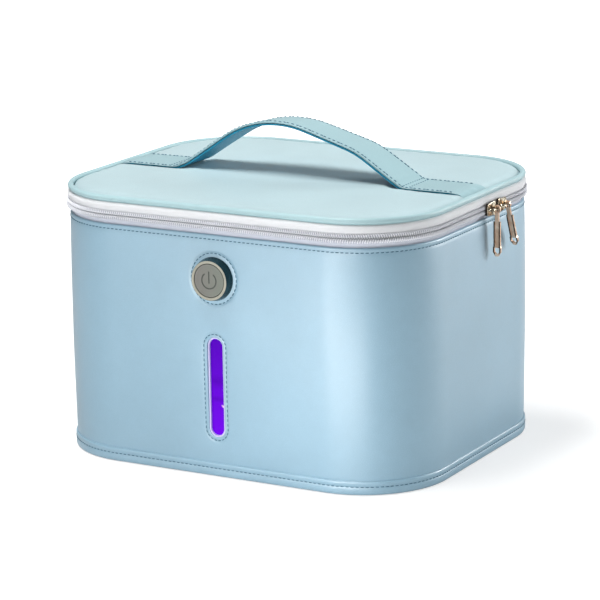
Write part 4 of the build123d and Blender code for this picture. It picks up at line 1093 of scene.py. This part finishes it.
housing_finish, strand, across, ahead, from_axis = new_button_part("champagne_plastic")
face_reach = (button_z - button_low[2] - 1.45) / 1000
flank = from_axis.clipped(face_reach, face_reach + 0.00012)
skin = strand.noise(0.35)
cloud = strand.noise(9.0).clipped(0.3, 0.7)
rim_tone = cloud.tint(linear(140, 141, 130), linear(164, 161, 146))
# The flank's dark teal is a painted reflection of the blue leather and painted shade.
flank_reflection_tone = cloud.tint(linear(22, 50, 56), linear(40, 74, 82))
strand.feed(
    Base_Color=flank.tint(rim_tone, flank_reflection_tone),
    Roughness=button_shine - 0.12 * flank + skin * 0.06,
    Metallic=0.25 + 0.35 * flank,
    Normal=strand.bump(skin, 0.02),
)
dress(housing_finish, "button_housing")

cap_finish, strand, across, ahead, from_axis = new_button_part("satin_grey_cap")
cap_face = box_mm("button_cap")[0][1] / 1000
in_sign = ahead.clipped(cap_face + 0.00008, cap_face + 0.00016)
# The sunk sign and the groove round the cap are painted dark: painted shade in the recesses.
sunk = in_sign * (1 - from_axis.clipped(0.0078, 0.0080))
recess_shade = sunk.or_more(from_axis.clipped(0.01035, 0.0106))
brushed = strand.noise(2.0, place=strand.stretched((8, 1, 1)))
sweep_tone = (across * 70.0 + 0.5 + brushed * 0.12).clipped(-0.3, 1.3)
cap_tone = sweep_tone.tint(linear(113, 110, 106), linear(110, 116, 107))
strand.feed(
    Base_Color=recess_shade.tint(cap_tone, linear(74, 78, 74)),
    Roughness=button_shine + 0.05 + brushed * 0.08 + 0.2 * recess_shade,
    Metallic=0.20 + brushed * 0.1,
    Normal=strand.bump(brushed, 0.01),
)
dress(cap_finish, "button_cap")


# ---------- viewing window
# A clear lavender bezel clamps a violet polycarbonate lens from the inside. The
# lens's glow is painted on as emission, brighter towards the floor.
bezel_finish, strand = new_finish("lavender_bezel", Specular_IOR_Level=0.5, Emission_Strength=1.0)
across, ahead, up = strand.axes()
skin = strand.noise(0.5)
wall_front = wall_low[1] / 1000
# Painted light: the whole bezel glows faintly, and deeper in, towards the lens, it is painted
# violet and glows more, as if lit by the lens.
inner_painted_glow = ahead.clipped(wall_front + 0.0003, wall_front + 0.0026)
pale_tone = skin.tint(linear(196, 186, 222), linear(214, 206, 232))
strand.feed(
    Base_Color=inner_painted_glow.tint(pale_tone, linear(132, 96, 196)),
    Roughness=0.26 + skin * 0.08,
    Normal=strand.bump(skin, 0.01),
    Emission_Color=inner_painted_glow.tint(linear(10, 6, 16), linear(54, 16, 110)),
)
dress(bezel_finish, "window_bezel")

lens_finish, strand = new_finish("violet_lens", Specular_IOR_Level=0.04, Emission_Strength=1.0)
across, ahead, up = (part * 1000.0 for part in strand.axes())
ripples = strand.noise(8.0)
glow = up.clipped(26.0, 91.0).tint(linear(116, 2, 238), linear(84, 0, 186))
# The glow gets painted shade: two darker bands and darker sides.
bars = [1 - abs(up - level).clipped(0.0, half) for level, half in ((62.0, 5.0), (50.5, 2.6))]
shaded = bars[0].or_more(bars[1]) * 0.30 + ripples * 0.08
shaded = shaded.or_more(abs(across).clipped(2.8, 5.0) * 0.42)
# Painted light: one bright spot in the glow where a diode shows through the lens.
spot_x = across - 4.0
spot_z = up - 45.8 + 0.45 * spot_x
spot = 1 - ((spot_x * spot_x * 0.35 + spot_z * spot_z) ** 0.5).clipped(0.45, 1.15)
glow = shaded.tint(glow, linear(40, 0, 110))
strand.feed(
    Emission_Color=spot.tint(glow, linear(255, 196, 246)),
    Base_Color=ripples.tint(linear(26, 4, 60), linear(34, 8, 72)),
    Roughness=0.10 + ripples * 0.08,
    Normal=strand.bump(ripples, 0.02),
)
dress(lens_finish, "window_lens")


# ---------- zip sliders and pulls
# Die-cast zinc under pale gold plate, polished, with cloudy tarnish. Their side
# faces away from the middle are painted dark: a painted dark reflection in the
# polished bevels. Each pull swings on the bridge of its slider.
pull_middle = 138.9


def make_plate(name, bright, dull, cloud, metal, rim):
    """Polished plate: tarnish, hair scratches, and a painted dark reflection beyond `rim` from the
    middle.
    """
    made, strand = new_finish(name)
    tarnish = strand.noise(cloud, 3.0, 0.5).clipped(0.35, 0.62)
    hair = strand.noise(0.4, 3.0, place=strand.stretched((1, 1, 0.12)))
    outward = strand.axes(strand.node("TexCoord", {}, {}, "Normal"))[0]
    off_middle = abs(strand.axes()[0] * 1000.0 - pull_middle)
    # Painted dark reflection on side faces beyond rim from the middle.
    painted_dark_edges = (1 - abs(outward).clipped(0.25, 0.7)) * off_middle.clipped(rim, rim + 0.4)
    strand.feed(
        Base_Color=painted_dark_edges.tint(tarnish.tint(dull, bright), linear(56, 46, 38)),
        Metallic=metal + tarnish * 0.1,
        Roughness=0.10 + hair * 0.05 + (1 - tarnish) * 0.05,
        Normal=strand.bump(hair + tarnish * 0.8, 0.02),
    )
    return made


cast_gold = make_plate("cast_gold", linear(250, 238, 212), linear(70, 56, 40), 1.7, 0.8, 2.2)
dress(cast_gold, "front_slider", "rear_slider")
pale_gold = make_plate("pale_gold", linear(248, 216, 190), linear(222, 182, 152), 4.0, 0.55, 1.15)
dress(pale_gold, "front_pull_tab", "rear_pull_tab")


# ---------- control box
# White moulded cover and plate on the inside of the front wall, with a lock nut on
# the button's barrel, a small circuit board and four steel screws.
white_plastic = make_solid("white_plastic", linear(226, 227, 231), 0.32, 0.5, 0.02, 0.05)
dress(white_plastic, "control_backplate", "control_cover", "socket_box")
dress(white_plastic, "base_lamp_frame", "lid_lamp_frame")
dark_plastic = make_solid("dark_plastic", linear(44, 45, 48), 0.5, 0.6, 0.04, 0.25)
dress(dark_plastic, "button_lock_nut", "socket_bezel")

# The boards' green mask lets their tracks and pads just show.
green_board, strand = new_finish("green_board", Specular_IOR_Level=0.5)
black, white = (0, 0, 0, 1), (1, 1, 1, 1)
layout = {"Vector": strand.place(), "Scale": 120.0, "Mortar Size": 0.06}
layout |= {"Color1": black, "Color2": black, "Mortar": white}
tracks = strand.node("RGBToBW", {}, {0: strand.node("TexBrick", {"offset": 0.5}, layout)})
weave = strand.noise(0.8)
strand.feed(
    Base_Color=(tracks * 0.8 + weave * 0.2).tint(linear(18, 92, 58), linear(64, 146, 92)),
    Roughness=0.30 + weave * 0.12,
    Normal=strand.bump(tracks + weave * 0.3, 0.04),
)
dress(green_board, "control_board", "base_lamp_board", "lid_lamp_board")

bright_steel, strand = new_finish("bright_steel")
marks = strand.noise(1 / 3, 3.0)
stain = strand.noise(6.0, 3.0).clipped(0.35, 0.7)
steel_colour = linear(196, 197, 200)
strand.feed(
    Base_Color=stain.tint(toned(steel_colour, 0.72), steel_colour),
    Metallic=0.92 + stain * 0.08,
    Roughness=0.24 + marks * 0.12 + (1 - stain) * 0.08,
    Normal=strand.bump(marks, 0.015),
)
dress(bright_steel, "control_screws", "base_lamp_screws", "lid_lamp_screws")
dress(bright_steel, "lid_magnet", "usb_socket")


# ---------- lamp modules
# White frames on the floor and in the lid, each with eight ultraviolet diodes on a
# board behind a clear cover that clips into the frame.
diode_finish, strand = new_finish("diode_ceramic", Specular_IOR_Level=0.5)
grain = strand.noise(0.4)
strand.feed(
    Base_Color=grain.tint(linear(214, 206, 150), linear(238, 232, 186)),
    Roughness=0.28 + grain * 0.15,
    Normal=strand.bump(grain, 0.02),
)
dress(diode_finish, "base_lamp_leds", "lid_lamp_leds")

clear = {"Transmission_Weight": 0.96, "IOR": 1.46, "Specular_IOR_Level": 0.5}
cover_finish, strand = new_finish("clear_cover", **clear)
haze = strand.noise(12.0, 4.0).clipped(0.35, 0.75)
strand.feed(
    Base_Color=haze.tint(linear(236, 240, 248), linear(250, 251, 254)),
    Roughness=0.03 + haze * 0.05,
    Normal=strand.bump(haze, 0.01),
)
dress(cover_finish, "base_lamp_cover", "lid_lamp_cover")


# ---------- leads
# Flat two-core leads in grey sleeve run in the padding between the boards.
sleeve_finish, strand = new_finish("grey_sleeve", Specular_IOR_Level=0.35)
rib = strand.wave(strand.place(), 300.0, "X", 0.5)
dust = strand.noise(4.0, 3.0)
strand.feed(
    Base_Color=dust.tint(linear(132, 132, 138), linear(164, 165, 170)),
    Roughness=0.55 + dust * 0.15,
    Normal=strand.bump(rib + dust * 0.4, 0.06),
)
dress(sleeve_finish, "power_lead", "base_lamp_lead", "lid_lead_lower", "lid_lead_upper")


# ---------- tool rack
# Round steel wire, spot-welded at every crossing and bright chrome plated.
chrome, strand = new_finish("bright_chrome")
drawn = strand.noise(1.2, 4.0)
smudge = strand.noise(9.0, 3.0).clipped(0.35, 0.7)
strand.feed(
    Base_Color=smudge.tint(linear(196, 198, 203), linear(224, 226, 230)),
    Metallic=0.96 + smudge * 0.04,
    Roughness=0.08 + drawn * 0.06 + (1 - smudge) * 0.08,
    Normal=strand.bump(drawn, 0.02),
)
dress(chrome, "rack_grid", "rack_legs")
